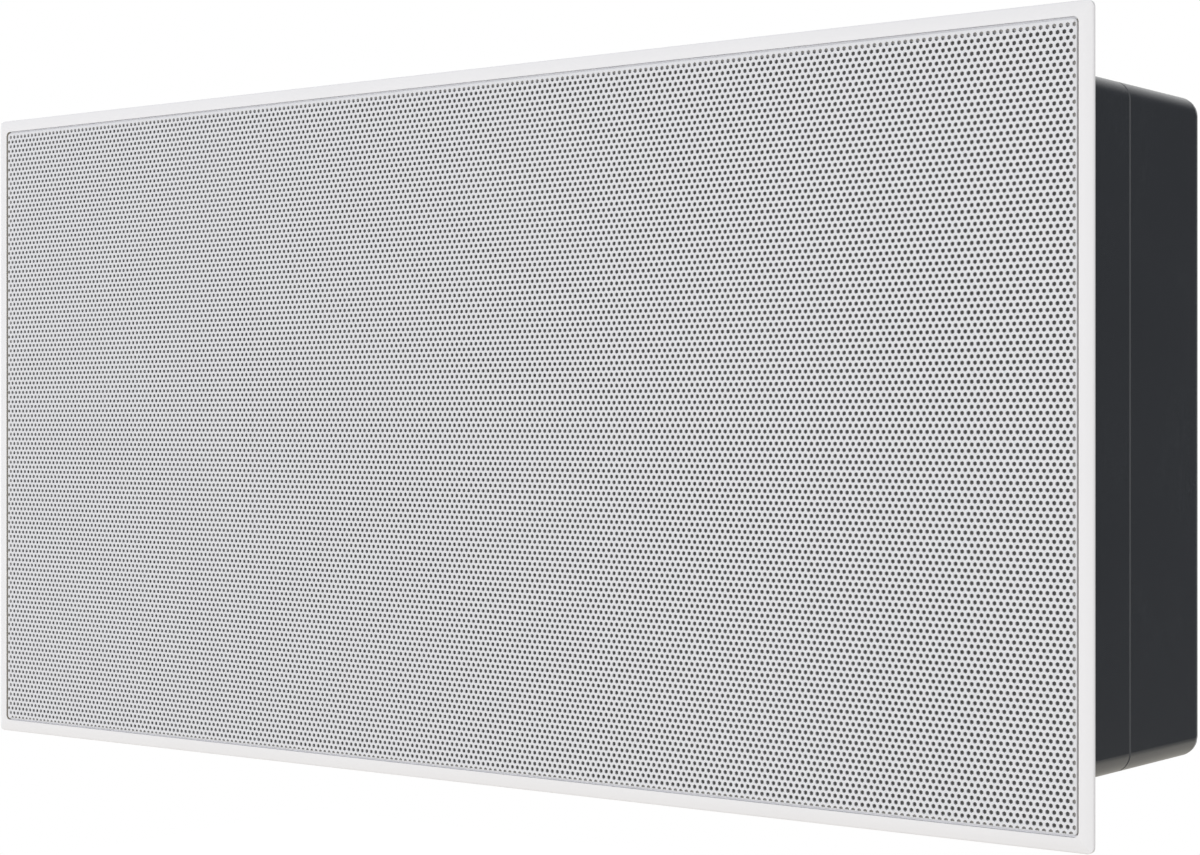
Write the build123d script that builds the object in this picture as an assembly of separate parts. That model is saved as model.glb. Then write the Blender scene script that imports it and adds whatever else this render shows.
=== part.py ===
from build123d import *
import math
import os

# In-wall speaker. Millimetres, X across the front, Y into the wall, Z up.
# Y = 0 is the face of the wall, and the back of the trim flange rests on it.

# Clearances between pieces
fit_gap = 0.08
glue_gap = 0.05
drop_in_gap = 0.5
slide_gap = 0.3

# Woofer frame, cone and suspension
woofer_radius = 73.0
frame_thickness = 4.0
frame_lip_depth = 1.0
frame_bolt_inset = 4.0
frame_wall = 2.4
basket_rear_plate = 2.0
spider_neck_gap = 1.1
motor_behind_spider = 9.5
spider_ledge_radius = 44.0
spider_ledge_width = 5.5
window_count = 6
window_width = 34.0
window_height = 25.0
window_margin = 3.5
basket_hole_gap = 2.2
surround_lip_width = 7.4
screw_head_margin = 2.1
surround_thickness = 0.9
roll_radius = 6.0
cone_glue_width = 4.6
cone_thickness = 0.9
cone_slope = 0.72
cap_radius = 17.0
cap_height = 6.5
cap_thickness = 0.8
spider_thickness = 0.6
spider_wave_height = 1.0
spider_wave_count = 6
spider_flat = 2.6
woofer_bolts = 6

# Woofer motor
coil_radius = 13.3
former_thickness = 0.4
winding_thickness = 0.7
winding_length = 7.0
coil_gap = 0.6
top_plate_radius = 38.0
top_plate_thickness = 5.0
magnet_radius = 42.0
magnet_hole_radius = 21.0
magnet_thickness = 14.0
yoke_radius = 38.0
yoke_thickness = 5.0

# Tweeter
tweeter_radius = 43.0
tweeter_hub_radius = 34.0
tweeter_hub_length = 2.0
horn_radius = 30.0
horn_depth = 3.2
dome_radius = 13.2
dome_height = 6.8
dome_thickness = 0.5
dome_roll_width = 3.2
dome_lip_width = 2.8
tweeter_coil_radius = 13.05
tweeter_former_thickness = 0.3
tweeter_coil_length = 4.5
tweeter_plate_thickness = 4.0
tweeter_magnet_thickness = 10.0
tweeter_motor_radius = 33.0
tweeter_magnet_hole = 17.0
tweeter_yoke_thickness = 4.0
tweeter_chamber_radius = 30.0
tweeter_chamber_length = 14.0
chamber_wall = 2.0
chamber_edge_round = 3.0
tweeter_bolts = 4
tweeter_bolt_inset = 4.5

# Baffle and tray
baffle_depth = 10.0
baffle_thickness = 4.0
driver_land = 5.0
driver_side_margin = 1.2
driver_top_margin = 5.7
seat_land = 6.0
seat_thickness = 8.0
tray_wall = 3.0

# Box
box_wall = 3.0
box_depth = 102.0
box_edge_radius = 6.0
rear_edge_radius = 5.5
seam_chamfer = 0.5
rim_thickness = 5.4
rim_side = 12.0
gasket_width = 1.2
gasket_height = 1.5

# Box screws in deep wells
boss_radius = 6.5
boss_sink = 0.5
tower_radius = 7.0
well_radius = 4.75
well_floor = 5.0
box_screw_radius = 2.0
box_screw_length = 18.0
box_screw_head_radius = 4.0
box_screw_head = 3.0

# Trim flange
wall_overlap = 14.5
ledge_thickness = 1.1
land_step = 0.6
bezel_width = 4.2
bezel_drop = 0.7
bezel_edge_round = 0.5
bezel_back_relief = 0.9
flange_corner_radius = 2.4
skirt_thickness = 2.0
skirt_end_gap = 2.0
peg_radius = 2.0
peg_length = 4.5

# Grille
grille_gap = 0.5
grille_depth = 1.05
grille_sheet = 0.5
grille_recess = 0.15
grille_rim = 1.5
grille_corner_radius = 1.2
grille_edge_round = 0.4
scrim_thickness = 0.25

# Grille magnets
disc_magnet_radius = 4.0
disc_magnet_thickness = 4.0

# Wall clamps
clamp_offset = 29.0
clamp_inset = 2.0
clamp_front = 7.0
clamp_front_gap = 1.5
clamp_back_gap = 1.4
clamp_travel = 25.6
pocket_floor = 4.8
pocket_gap = 0.7
pocket_wall = 2.0
pocket_back = 3.5
pocket_end_gap = 3.0
pocket_mouth_gap = 0.5
leg_hub_radius = 5.5
leg_height = 12.0
leg_reach = 22.0
leg_arm_thickness = 8.0
leg_foot_length = 9.0
leg_foot_step = 1.5
leg_tip_round = 1.5
bush_radius = 3.5
clamp_screw_radius = 2.0
clamp_head_radius = 4.0
clamp_head = 3.2
clamp_head_depth = 4.0
clamp_drive_width = 1.2
clamp_drive_length = 5.0
clamp_drive_depth = 1.6
clamp_tip_depth = 2.5

# Places along the rim, measured from the clamps and the middle
peg_outside_clamp = 30.0
peg_inside_clamp = 100.0
magnet_inside_clamp = 50.0
side_peg_height = 50.0

# Terminal cup in the rear wall
terminal_above_bottom = 54.5
cup_width = 70.0
cup_height = 42.0
cup_depth = 20.0
cup_wall = 2.0
cup_flange = 7.0
cup_flange_thickness = 2.5
pad_margin = 4.0
pad_thickness = 8.0
button_width = 14.0
button_height = 9.0
button_spacing = 32.0
button_rise = 4.0
button_collar = 1.5
button_collar_thickness = 2.0
button_edge_round = 1.5
button_top_depth = 5.0
guide_wall = 2.0
guide_length = 8.0
guide_back = 2.0
wire_hole_radius = 1.75
wire_hole_drop = 12.0
contact_width = 6.0
contact_thickness = 0.8
contact_foot = 8.0
contact_tab = 10.0
small_screw_radius = 1.5
small_screw_head_radius = 2.9
small_screw_head = 2.0
small_screw_length = 6.5

# Crossover board on the rear wall
board_below_top = 67.5
board_width = 84.0
board_height = 66.0
board_thickness = 1.6
board_hole_inset = 5.0
standoff_radius = 4.0
standoff_height = 8.0
inductor_radius = 15.0
inductor_hole_radius = 6.0
inductor_height = 14.0
inductor_spacing = 38.0
inductor_lift = 12.0
capacitor_radius = 6.5
capacitor_height = 24.0
capacitor_spacing = 17.0
capacitor_drop = 14.0
resistor_length = 22.0
resistor_size = 8.0
resistor_spacing = 26.0
resistor_drop = 26.5

# Damping pads on the rear wall
damping_width = 110.0
damping_height = 150.0
damping_thickness = 10.0

# Woofer's suspension and cone, from the frame's screws inwards
surround_lip_radius = woofer_radius - frame_bolt_inset - small_screw_head_radius - screw_head_margin
cone_radius = surround_lip_radius - surround_lip_width - 2 * roll_radius
cone_edge = cone_radius - cone_glue_width
cone_neck = coil_radius + glue_gap
cone_fall = (cone_edge - cone_neck) * cone_slope
cone_rise = cone_thickness * math.sqrt(1 + cone_slope**2)

# Depths behind the wall's face
frame_seat = baffle_depth + frame_thickness
surround_seat = baffle_depth + frame_lip_depth
cone_back = surround_seat + cone_fall + cone_rise
spider_seat = cone_back + spider_neck_gap + spider_wave_height + spider_thickness
motor_front = spider_seat + motor_behind_spider
magnet_front = motor_front + top_plate_thickness
yoke_front = magnet_front + magnet_thickness
baffle_back = baffle_depth + baffle_thickness
rim_back = land_step + rim_thickness
seat_back = frame_seat + seat_thickness
tweeter_seat = frame_seat + tweeter_hub_length
tweeter_magnet_front = tweeter_seat + tweeter_plate_thickness
tweeter_yoke_front = tweeter_magnet_front + tweeter_magnet_thickness
tweeter_chamber_front = tweeter_yoke_front + tweeter_yoke_thickness
leg_rest = clamp_front + clamp_front_gap + clamp_travel
pocket_end = leg_rest + leg_height + clamp_back_gap
seam_depth = pocket_end + pocket_back
rear_inside = box_depth - box_wall
cup_rear = box_depth - small_screw_head
cup_seat = cup_rear - cup_flange_thickness
cup_floor = box_depth - cup_depth
guide_front = cup_floor - cup_wall
guide_end = guide_front - guide_back
board_back = rear_inside - standoff_height
board_front = board_back - board_thickness
grille_front = -ledge_thickness - grille_depth
grille_sheet_back = grille_front + grille_sheet
flange_crest = ledge_thickness + grille_depth + grille_recess
screw_hole_depth = box_screw_length - well_floor + fit_gap
magnet_floor = disc_magnet_thickness - ledge_thickness

# Half widths and half heights seen from the front
woofer_x = tweeter_radius + driver_land + woofer_radius
skirt_room = slide_gap + skirt_thickness
tray_half_width = woofer_x + woofer_radius + driver_side_margin + skirt_room
tray_half_height = woofer_radius + driver_top_margin + skirt_room
rim_top = pocket_floor + pocket_gap + 2 * leg_hub_radius + clamp_inset
box_half_width = tray_half_width + rim_side
box_half_height = tray_half_height + rim_top
flange_half_width = box_half_width + wall_overlap
flange_half_height = box_half_height + wall_overlap
grille_half_width = flange_half_width - bezel_width - grille_gap
grille_half_height = flange_half_height - bezel_width - grille_gap
clamp_x = woofer_x + clamp_offset
clamp_z = box_half_height - clamp_inset - leg_hub_radius
boss_inset = box_wall + boss_radius - boss_sink
dome_lip_radius = dome_radius + dome_roll_width + dome_lip_width
terminal_drop = box_half_height - terminal_above_bottom
board_lift = box_half_height - board_below_top
button_z = button_rise - terminal_drop
rim_line_x = tray_half_width + rim_side / 2
rim_line_z = tray_half_height + rim_top / 2

# Places of repeated pieces, as (x, z)
sides = {"left": -1, "right": 1}
levels = {"top": 1, "bottom": -1}
boss_columns = (box_half_width - boss_inset, tweeter_radius + driver_land / 2)
boss_places = [
    (side * x, level * (box_half_height - boss_inset))
    for x in boss_columns
    for side in sides.values()
    for level in levels.values()
]
peg_columns = (clamp_x + peg_outside_clamp, clamp_x - peg_inside_clamp)
peg_places = [
    (side * x, level * rim_line_z)
    for x in peg_columns
    for side in sides.values()
    for level in levels.values()
]
peg_places += [
    (side * rim_line_x, level * side_peg_height)
    for side in sides.values()
    for level in levels.values()
]
magnet_columns = (magnet_inside_clamp - clamp_x, 0.0, clamp_x - magnet_inside_clamp)
magnet_places = [(x, level * rim_line_z) for x in magnet_columns for level in levels.values()]
magnet_places += [(side * rim_line_x, 0.0) for side in sides.values()]
clamp_places = {
    f"{level_name}_{side_name}": (side, level)
    for level_name, level in levels.items()
    for side_name, side in sides.items()
}


def block(half_width, half_height, front, back, radius=0.0, x=0.0, z=0.0):
    """Prism with a rectangular outline seen from the front, between two depths."""
    if radius > 0:
        outline = RectangleRounded(2 * half_width, 2 * half_height, radius)
    else:
        outline = Rectangle(2 * half_width, 2 * half_height)
    face = Plane.XZ.offset(-front) * outline
    return Pos(x, 0, z) * extrude(face, amount=front - back)


def disc(radius, front, back, x=0.0, z=0.0):
    """Cylinder along Y between two depths."""
    face = Plane.XZ.offset(-front) * Circle(radius)
    return Pos(x, 0, z) * extrude(face, amount=front - back)


def ring(outer, inner, front, back, x=0.0, z=0.0):
    """Flat ring along Y between two depths."""
    face = Plane.XZ.offset(-front) * (Circle(outer) - Circle(inner))
    return Pos(x, 0, z) * extrude(face, amount=front - back)


def turned(edges, x=0.0, z=0.0):
    """Solid turned about a line along Y through (x, z), from edges in radius and depth."""
    return Pos(x, 0, z) * revolve(make_face(edges), Axis.Y)


def turned_points(points, x=0.0, z=0.0):
    """Solid turned about a line along Y through (x, z), from straight runs."""
    return turned(Polyline(*points, close=True), x, z)


def dome_arc(base_radius, base_depth, apex_depth):
    """Arc of a dome's section, from its rim to its apex on the axis."""
    height = base_depth - apex_depth
    sphere = (base_radius**2 + height**2) / (2 * height)
    middle_radius = base_radius / 2
    middle_drop = sphere - math.sqrt(sphere**2 - middle_radius**2)
    middle = (middle_radius, apex_depth + middle_drop)
    return ThreePointArc((base_radius, base_depth), middle, (0, apex_depth))


def around(count, radius, x=0.0, z=0.0, start=0.0):
    """Places spaced evenly on a circle about (x, z)."""
    angles = [math.radians(start + 360.0 * i / count) for i in range(count)]
    return [(x + radius * math.cos(a), z + radius * math.sin(a)) for a in angles]


def group(pieces):
    """Separate solids that share one node."""
    return Part() + list(pieces)


def front_screw(x, z, seat, length, radius, head_radius, head):
    """Pan-head screw driven from the front, its head standing in front of the seat."""
    return disc(head_radius, seat - head, seat, x, z) + disc(radius, seat, seat + length, x, z)


def rear_screw(x, z, seat, length, radius, head_radius, head):
    """Pan-head screw driven from the rear, its head standing behind the seat."""
    return disc(head_radius, seat, seat + head, x, z) + disc(radius, seat - length, seat, x, z)


def crown_section(half):
    """Section of the flange from edge to edge: flat back, convex bezel, level middle."""
    curve = (bezel_width**2 + bezel_drop**2) / (2 * bezel_drop)

    def crown(inset):
        """Height of the bezel at a distance in from the outer edge."""
        run = bezel_width - inset
        return flange_crest - curve + math.sqrt(curve**2 - run**2)

    edge_top = crown(0) - bezel_edge_round
    back = (half - bezel_back_relief, 0)
    low = (half, -bezel_back_relief)
    high = (half, -edge_top)
    roll = (half - bezel_edge_round, -crown(bezel_edge_round))
    crest = (half - bezel_width, -flange_crest)
    roll_middle = (half - bezel_width / 2, -crown(bezel_width / 2))
    side = [
        Line(back, low),
        Line(low, high),
        TangentArc(high, roll, tangent=(0, -1)),
        ThreePointArc(roll, roll_middle, crest),
    ]
    other = [mirror(edge, Plane.YZ) for edge in side]
    top = Line(crest, (-crest[0], crest[1]))
    bottom = Line((-back[0], 0), back)
    return make_face(side + other + [top, bottom])


def trim_flange():
    """White frame: convex bezel, thin ledge under the grille, skirt into the tray and pegs."""
    long_bar = extrude(crown_section(flange_half_width), amount=flange_half_height, both=True)
    short_bar = extrude(crown_section(flange_half_height), amount=flange_half_width, both=True)
    short_bar = Rot(0, 90, 0) * short_bar
    outline = block(
        flange_half_width, flange_half_height, -flange_crest, 0, flange_corner_radius
    )
    frame = long_bar & short_bar & outline
    frame -= block(
        grille_half_width + grille_gap,
        grille_half_height + grille_gap,
        -flange_crest,
        -ledge_thickness,
        grille_corner_radius + grille_gap,
    )
    frame += block(
        box_half_width + slide_gap,
        box_half_height + slide_gap,
        -ledge_thickness,
        land_step,
        box_edge_radius + slide_gap,
    )
    skirt_half_width = tray_half_width - slide_gap
    skirt_half_height = tray_half_height - slide_gap
    frame += block(skirt_half_width, skirt_half_height, -ledge_thickness, baffle_depth - skirt_end_gap)
    frame -= block(
        skirt_half_width - skirt_thickness,
        skirt_half_height - skirt_thickness,
        -flange_crest,
        baffle_depth,
    )
    frame += [disc(peg_radius, -ledge_thickness, peg_length, x, z) for x, z in peg_places]
    frame -= [
        disc(disc_magnet_radius + slide_gap, -flange_crest, land_step, x, z)
        for x, z in magnet_places
    ]
    frame -= [
        disc(clamp_head_radius + drop_in_gap, -flange_crest, land_step, side * clamp_x, level * clamp_z)
        for side, level in clamp_places.values()
    ]
    return frame


def grille():
    """Steel sheet with a shallow turned rim, flush in the flange."""
    pan = block(
        grille_half_width, grille_half_height, grille_front, -ledge_thickness, grille_corner_radius
    )
    pan = fillet(pan.edges().group_by(Axis.Y)[0], grille_edge_round)
    pan -= block(
        grille_half_width - grille_rim,
        grille_half_height - grille_rim,
        grille_sheet_back,
        -ledge_thickness,
        grille_corner_radius,
    )
    return pan


def grille_scrim():
    """Thin cloth on the back of the grille's sheet, inside its rim."""
    return block(
        grille_half_width - grille_rim - slide_gap,
        grille_half_height - grille_rim - slide_gap,
        grille_sheet_back,
        grille_sheet_back + scrim_thickness,
        grille_corner_radius,
    )


def grille_magnets():
    """Disc magnets in blind holes of the rim."""
    front = -ledge_thickness
    return group(disc(disc_magnet_radius, front, magnet_floor, x, z) for x, z in magnet_places)


def gasket_ring(width, front, back):
    """Ring centred on the box wall's thickness."""
    middle_width = box_half_width - box_wall / 2
    middle_height = box_half_height - box_wall / 2
    middle_radius = box_edge_radius - box_wall / 2
    outside = block(
        middle_width + width / 2, middle_height + width / 2, front, back, middle_radius + width / 2
    )
    inside = block(
        middle_width - width / 2, middle_height - width / 2, front, back, middle_radius - width / 2
    )
    return outside - inside


def pocket(side, level, margin, front, back):
    """Clamp pocket, or with a margin the walls round it, open to the top or bottom of the box."""
    near = clamp_x + leg_hub_radius + pocket_gap + margin
    far = clamp_x - leg_reach - pocket_end_gap - margin
    floor = clamp_z - leg_hub_radius - pocket_gap - margin
    top = box_half_height - (pocket_mouth_gap if margin else -pocket_mouth_gap)
    x = side * (near + far) / 2
    z = level * (floor + top) / 2
    return block((near - far) / 2, (top - floor) / 2, front, back, x=x, z=z)


def woofer_bolt_places(x):
    """Screw places on one woofer's frame."""
    return around(woofer_bolts, woofer_radius - frame_bolt_inset, x, 0.0, 180.0 / woofer_bolts)


def tweeter_bolt_places():
    """Screw places on the tweeter's face plate."""
    return around(tweeter_bolts, tweeter_radius - tweeter_bolt_inset, 0.0, 0.0, 180.0 / tweeter_bolts)


def front_chassis():
    """Front half of the box: walls, rim, sunk baffle, driver seats, clamp pockets and bosses."""
    woofers = [side * woofer_x for side in sides.values()]
    basket_hole = basket_mouth() + basket_hole_gap
    tweeter_hole = tweeter_hub_radius + basket_hole_gap
    walls = block(box_half_width, box_half_height, land_step, seam_depth, box_edge_radius)
    walls = chamfer(walls.edges().group_by(Axis.Y)[-1], seam_chamfer)
    walls -= block(
        box_half_width - box_wall,
        box_half_height - box_wall,
        rim_back,
        seam_depth,
        box_edge_radius - box_wall,
    )
    tray_outside = (tray_half_width + tray_wall, tray_half_height + tray_wall)
    body = walls + block(*tray_outside, land_step, baffle_back)
    body += [disc(woofer_radius + seat_land, baffle_depth, seat_back, x, 0) for x in woofers]
    body += disc(tweeter_radius + seat_land, baffle_depth, seat_back)
    body += [
        pocket(side, level, pocket_wall, rim_back, seam_depth)
        for side, level in clamp_places.values()
    ]
    body += [disc(boss_radius, rim_back, seam_depth, x, z) for x, z in boss_places]

    cuts = [block(tray_half_width, tray_half_height, land_step, baffle_depth)]
    for x in woofers:
        cuts.append(disc(woofer_radius + drop_in_gap, baffle_depth, frame_seat, x, 0))
        cuts.append(disc(basket_hole, frame_seat, seat_back, x, 0))
        for bolt_x, bolt_z in woofer_bolt_places(x):
            cuts.append(disc(small_screw_radius + fit_gap, frame_seat, seat_back, bolt_x, bolt_z))
    cuts.append(disc(tweeter_radius + drop_in_gap, baffle_depth, frame_seat))
    cuts.append(disc(tweeter_hole, frame_seat, seat_back))
    for x, z in tweeter_bolt_places():
        cuts.append(disc(small_screw_radius + fit_gap, frame_seat, seat_back, x, z))
    for side, level in clamp_places.values():
        x = side * clamp_x
        z = level * clamp_z
        cuts.append(pocket(side, level, 0.0, clamp_front, pocket_end))
        cuts.append(disc(clamp_head_radius + drop_in_gap, land_step, clamp_head_depth, x, z))
        tip_hole = pocket_end + clamp_tip_depth + slide_gap
        cuts.append(disc(clamp_screw_radius + fit_gap, land_step, tip_hole, x, z))
    for x, z in boss_places:
        cuts.append(disc(box_screw_radius + fit_gap, seam_depth - screw_hole_depth, seam_depth, x, z))
    for x, z in peg_places:
        cuts.append(disc(peg_radius + fit_gap, land_step, peg_length + slide_gap, x, z))
    for x, z in magnet_places:
        cuts.append(disc(disc_magnet_radius + fit_gap, land_step, magnet_floor, x, z))
    cuts.append(gasket_ring(gasket_width + 2 * fit_gap, seam_depth - gasket_height, seam_depth))
    return body - cuts


def seam_gasket():
    """Rubber seal in a groove of the front half's edge."""
    return gasket_ring(gasket_width, seam_depth - gasket_height, seam_depth)


def board_places():
    """Standoffs under the crossover board."""
    x = board_width / 2 - board_hole_inset
    z = board_height / 2 - board_hole_inset
    return [(a * x, board_lift + b * z) for a in (-1, 1) for b in (-1, 1)]


def cup_screw_places():
    """Screws in the corners of the terminal cup's flange."""
    x = cup_width / 2 + cup_flange / 2
    z = cup_height / 2 + cup_flange / 2
    return [(a * x, b * z - terminal_drop) for a in (-1, 1) for b in (-1, 1)]


def rear_cover():
    """Rear half of the box: walls, rounded rear edges, screw wells, standoffs and terminal seat."""
    body = block(box_half_width, box_half_height, seam_depth, box_depth, box_edge_radius)
    body = chamfer(body.edges().group_by(Axis.Y)[0], seam_chamfer)
    body = fillet(body.edges().group_by(Axis.Y)[-1], rear_edge_radius)
    body -= block(
        box_half_width - box_wall,
        box_half_height - box_wall,
        seam_depth,
        rear_inside,
        box_edge_radius - box_wall,
    )
    body += [disc(tower_radius, seam_depth, rear_inside, x, z) for x, z in boss_places]
    body += [
        disc(standoff_radius, board_back, rear_inside, x, z)
        for x, z in board_places()
    ]
    seat_half_width = cup_width / 2 + cup_flange + slide_gap
    seat_half_height = cup_height / 2 + cup_flange + slide_gap
    body += block(
        seat_half_width + pad_margin,
        seat_half_height + pad_margin,
        rear_inside - pad_thickness,
        rear_inside,
        z=-terminal_drop,
    )
    cuts = [
        block(seat_half_width, seat_half_height, cup_seat, box_depth, z=-terminal_drop),
        block(
            cup_width / 2 + slide_gap,
            cup_height / 2 + slide_gap,
            rear_inside - pad_thickness,
            box_depth,
            z=-terminal_drop,
        ),
    ]
    for x, z in boss_places:
        cuts.append(disc(well_radius, seam_depth + well_floor, box_depth, x, z))
        cuts.append(disc(box_screw_radius + fit_gap, seam_depth, seam_depth + well_floor, x, z))
    standoff_hole = board_back + small_screw_length
    for x, z in board_places():
        cuts.append(disc(small_screw_radius + fit_gap, board_back, standoff_hole, x, z))
    for x, z in cup_screw_places():
        cuts.append(disc(small_screw_radius + fit_gap, cup_seat - small_screw_length, cup_seat, x, z))
    return body - cuts


def cover_screws():
    """Screws at the bottom of the wells, from the rear half into the front half."""
    return group(
        rear_screw(
            x,
            z,
            seam_depth + well_floor,
            box_screw_length,
            box_screw_radius,
            box_screw_head_radius,
            box_screw_head,
        )
        for x, z in boss_places
    )


def basket_mouth():
    """Outside radius of the basket's wall where it meets the frame."""
    return cone_radius + 2 * roll_radius + frame_wall / 2


def woofer_basket(x):
    """Cast frame: mounting flange, open windows between spokes, spider ledge and motor plate."""
    mouth = basket_mouth()
    mouth_inside = mouth - frame_wall / 2
    ledge_inside = spider_ledge_radius - spider_ledge_width
    section = [
        (woofer_radius, baffle_depth),
        (woofer_radius, frame_seat),
        (mouth, frame_seat),
        (spider_ledge_radius + frame_wall, spider_seat - frame_wall / 2),
        (spider_ledge_radius + frame_wall, spider_seat + frame_wall),
        (ledge_inside + frame_wall, spider_seat + frame_wall),
        (ledge_inside + frame_wall, motor_front),
        (magnet_hole_radius, motor_front),
        (magnet_hole_radius, motor_front - basket_rear_plate),
        (ledge_inside, motor_front - basket_rear_plate),
        (ledge_inside, spider_seat),
        (spider_ledge_radius, spider_seat),
        (spider_ledge_radius, spider_seat - frame_wall / 2),
        (mouth_inside, surround_seat),
        (surround_lip_radius + drop_in_gap, surround_seat),
        (surround_lip_radius + drop_in_gap, baffle_depth),
    ]
    basket = turned_points(section)
    middle = (mouth + spider_ledge_radius) / 2
    front = frame_seat + window_margin
    back = spider_seat - window_margin
    window = block(window_width / 2, window_height / 2, front, back, z=middle)
    basket -= [Rot(0, 360.0 * i / window_count, 0) * window for i in range(window_count)]
    basket -= [
        disc(small_screw_radius + fit_gap, baffle_depth, frame_seat, a, b)
        for a, b in woofer_bolt_places(0.0)
    ]
    return Pos(x, 0, 0) * basket


def woofer_surround(x):
    """Rubber half roll between the frame's lip and the cone's edge."""
    middle = cone_radius + roll_radius
    inner = roll_radius - surround_thickness / 2
    outer = roll_radius + surround_thickness / 2
    foot = math.sqrt(outer**2 - surround_thickness**2)
    front = surround_seat - surround_thickness
    section = [
        Line((surround_lip_radius, surround_seat), (middle + inner, surround_seat)),
        ThreePointArc(
            (middle + inner, surround_seat),
            (middle, surround_seat - inner),
            (middle - inner, surround_seat),
        ),
        Line((middle - inner, surround_seat), (cone_edge, surround_seat)),
        Line((cone_edge, surround_seat), (cone_edge, front)),
        Line((cone_edge, front), (middle - foot, front)),
        ThreePointArc((middle - foot, front), (middle, surround_seat - outer), (middle + foot, front)),
        Line((middle + foot, front), (surround_lip_radius, front)),
        Line((surround_lip_radius, front), (surround_lip_radius, surround_seat)),
    ]
    return turned(section, x)


def cone_face(radius):
    """Depth of the cone's front face at a radius."""
    return surround_seat + (cone_edge - radius) * cone_slope


def woofer_cone(x):
    """Straight-sided cone with a flat edge for the surround and a neck for the coil."""
    bend = cone_edge + (cone_rise - cone_thickness) / cone_slope
    section = [
        (cone_radius, surround_seat),
        (cone_edge, surround_seat),
        (cone_neck, cone_face(cone_neck)),
        (cone_neck, cone_back),
        (bend, surround_seat + cone_thickness),
        (cone_radius, surround_seat + cone_thickness),
    ]
    return turned_points(section, x)


def woofer_dust_cap(x):
    """Domed cap glued on the cone, its rim parallel to the cone's face."""
    base = cone_face(cap_radius) - glue_gap
    apex = base - cap_height
    inside_radius = cap_radius - cap_thickness
    inside_base = base + cap_thickness * cone_slope
    inside_apex = apex + cap_thickness
    section = [
        dome_arc(cap_radius, base, apex),
        Line((0, apex), (0, inside_apex)),
        dome_arc(inside_radius, inside_base, inside_apex),
        Line((inside_radius, inside_base), (cap_radius, base)),
    ]
    return turned(section, x)


def woofer_spider(x):
    """Corrugated cloth disc that centres the coil on the basket's ledge."""
    first = cone_neck + spider_flat
    last = spider_ledge_radius - spider_ledge_width - spider_flat / 2
    outside = spider_ledge_radius - drop_in_gap
    step = (last - first) / spider_wave_count

    def waves(depth):
        """Arcs to the front and back in turn, at one depth."""
        arcs = []
        for i in range(spider_wave_count):
            start = first + i * step
            height = spider_wave_height * (-1) ** i
            arcs.append(
                ThreePointArc((start, depth), (start + step / 2, depth - height), (start + step, depth))
            )
        return arcs

    front = spider_seat - spider_thickness
    section = waves(front) + waves(spider_seat)
    section += [
        Line((cone_neck, front), (first, front)),
        Line((last, front), (outside, front)),
        Line((outside, front), (outside, spider_seat)),
        Line((outside, spider_seat), (last, spider_seat)),
        Line((first, spider_seat), (cone_neck, spider_seat)),
        Line((cone_neck, spider_seat), (cone_neck, front)),
    ]
    return turned(section, x)


def woofer_voice_coil(x):
    """Tube from the cone's neck into the motor's gap, with the winding on its end."""
    middle = motor_front + top_plate_thickness / 2
    back = middle + winding_length / 2
    tube = ring(coil_radius, coil_radius - former_thickness, cone_face(cone_neck), back, x)
    winding = ring(
        coil_radius + winding_thickness, coil_radius - former_thickness, back - winding_length, back, x
    )
    return tube + winding


def woofer_top_plate(x):
    """Steel ring in front of the magnet."""
    bore = coil_radius + winding_thickness + coil_gap
    return ring(top_plate_radius, bore, motor_front, magnet_front, x)


def woofer_magnet(x):
    """Ferrite ring magnet."""
    return ring(magnet_radius, magnet_hole_radius, magnet_front, yoke_front, x)


def woofer_yoke(x):
    """Steel back plate with the pole that stands inside the coil."""
    pole = coil_radius - former_thickness - coil_gap
    plate = disc(yoke_radius, yoke_front, yoke_front + yoke_thickness, x)
    return plate + disc(pole, motor_front, yoke_front, x)


def woofer_screws():
    """Screws that hold both woofer frames on the baffle."""
    places = [place for side in sides.values() for place in woofer_bolt_places(side * woofer_x)]
    return group(driver_screw(x, z) for x, z in places)


def driver_screw(x, z):
    """Screw through a driver's frame into its seat."""
    length = frame_thickness + small_screw_length
    return front_screw(
        x, z, baffle_depth, length, small_screw_radius, small_screw_head_radius, small_screw_head
    )


def tweeter_faceplate():
    """Face plate with a short horn round the dome and a hub for the motor."""
    lip_room = dome_lip_radius + slide_gap
    throat = dome_lip_radius - dome_lip_width + slide_gap
    step = tweeter_seat - dome_thickness - slide_gap
    section = [
        (tweeter_radius, baffle_depth),
        (tweeter_radius, frame_seat),
        (tweeter_hub_radius, frame_seat),
        (tweeter_hub_radius, tweeter_seat),
        (lip_room, tweeter_seat),
        (lip_room, step),
        (throat, step),
        (throat, baffle_depth + horn_depth),
        (horn_radius, baffle_depth),
    ]
    plate = turned_points(section)
    plate -= [
        disc(small_screw_radius + fit_gap, baffle_depth, frame_seat, x, z)
        for x, z in tweeter_bolt_places()
    ]
    return plate


def tweeter_dome():
    """Cloth dome with its small roll and flat lip, all one pressing."""
    base = tweeter_seat - dome_thickness
    roll_end = dome_radius + dome_roll_width
    roll_middle = dome_radius + dome_roll_width / 2

    def outline(depth):
        """Dome, roll and lip at one depth."""
        return [
            dome_arc(dome_radius, depth, depth - dome_height),
            ThreePointArc(
                (dome_radius, depth), (roll_middle, depth - dome_roll_width / 2), (roll_end, depth)
            ),
            Line((roll_end, depth), (dome_lip_radius, depth)),
        ]

    section = outline(base) + outline(tweeter_seat)
    section += [
        Line((dome_lip_radius, base), (dome_lip_radius, tweeter_seat)),
        Line((0, base - dome_height), (0, tweeter_seat - dome_height)),
    ]
    return turned(section)


def tweeter_coil():
    """Small coil tube behind the dome."""
    inside = tweeter_coil_radius - tweeter_former_thickness
    return ring(tweeter_coil_radius, inside, tweeter_seat, tweeter_seat + tweeter_coil_length)


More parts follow.
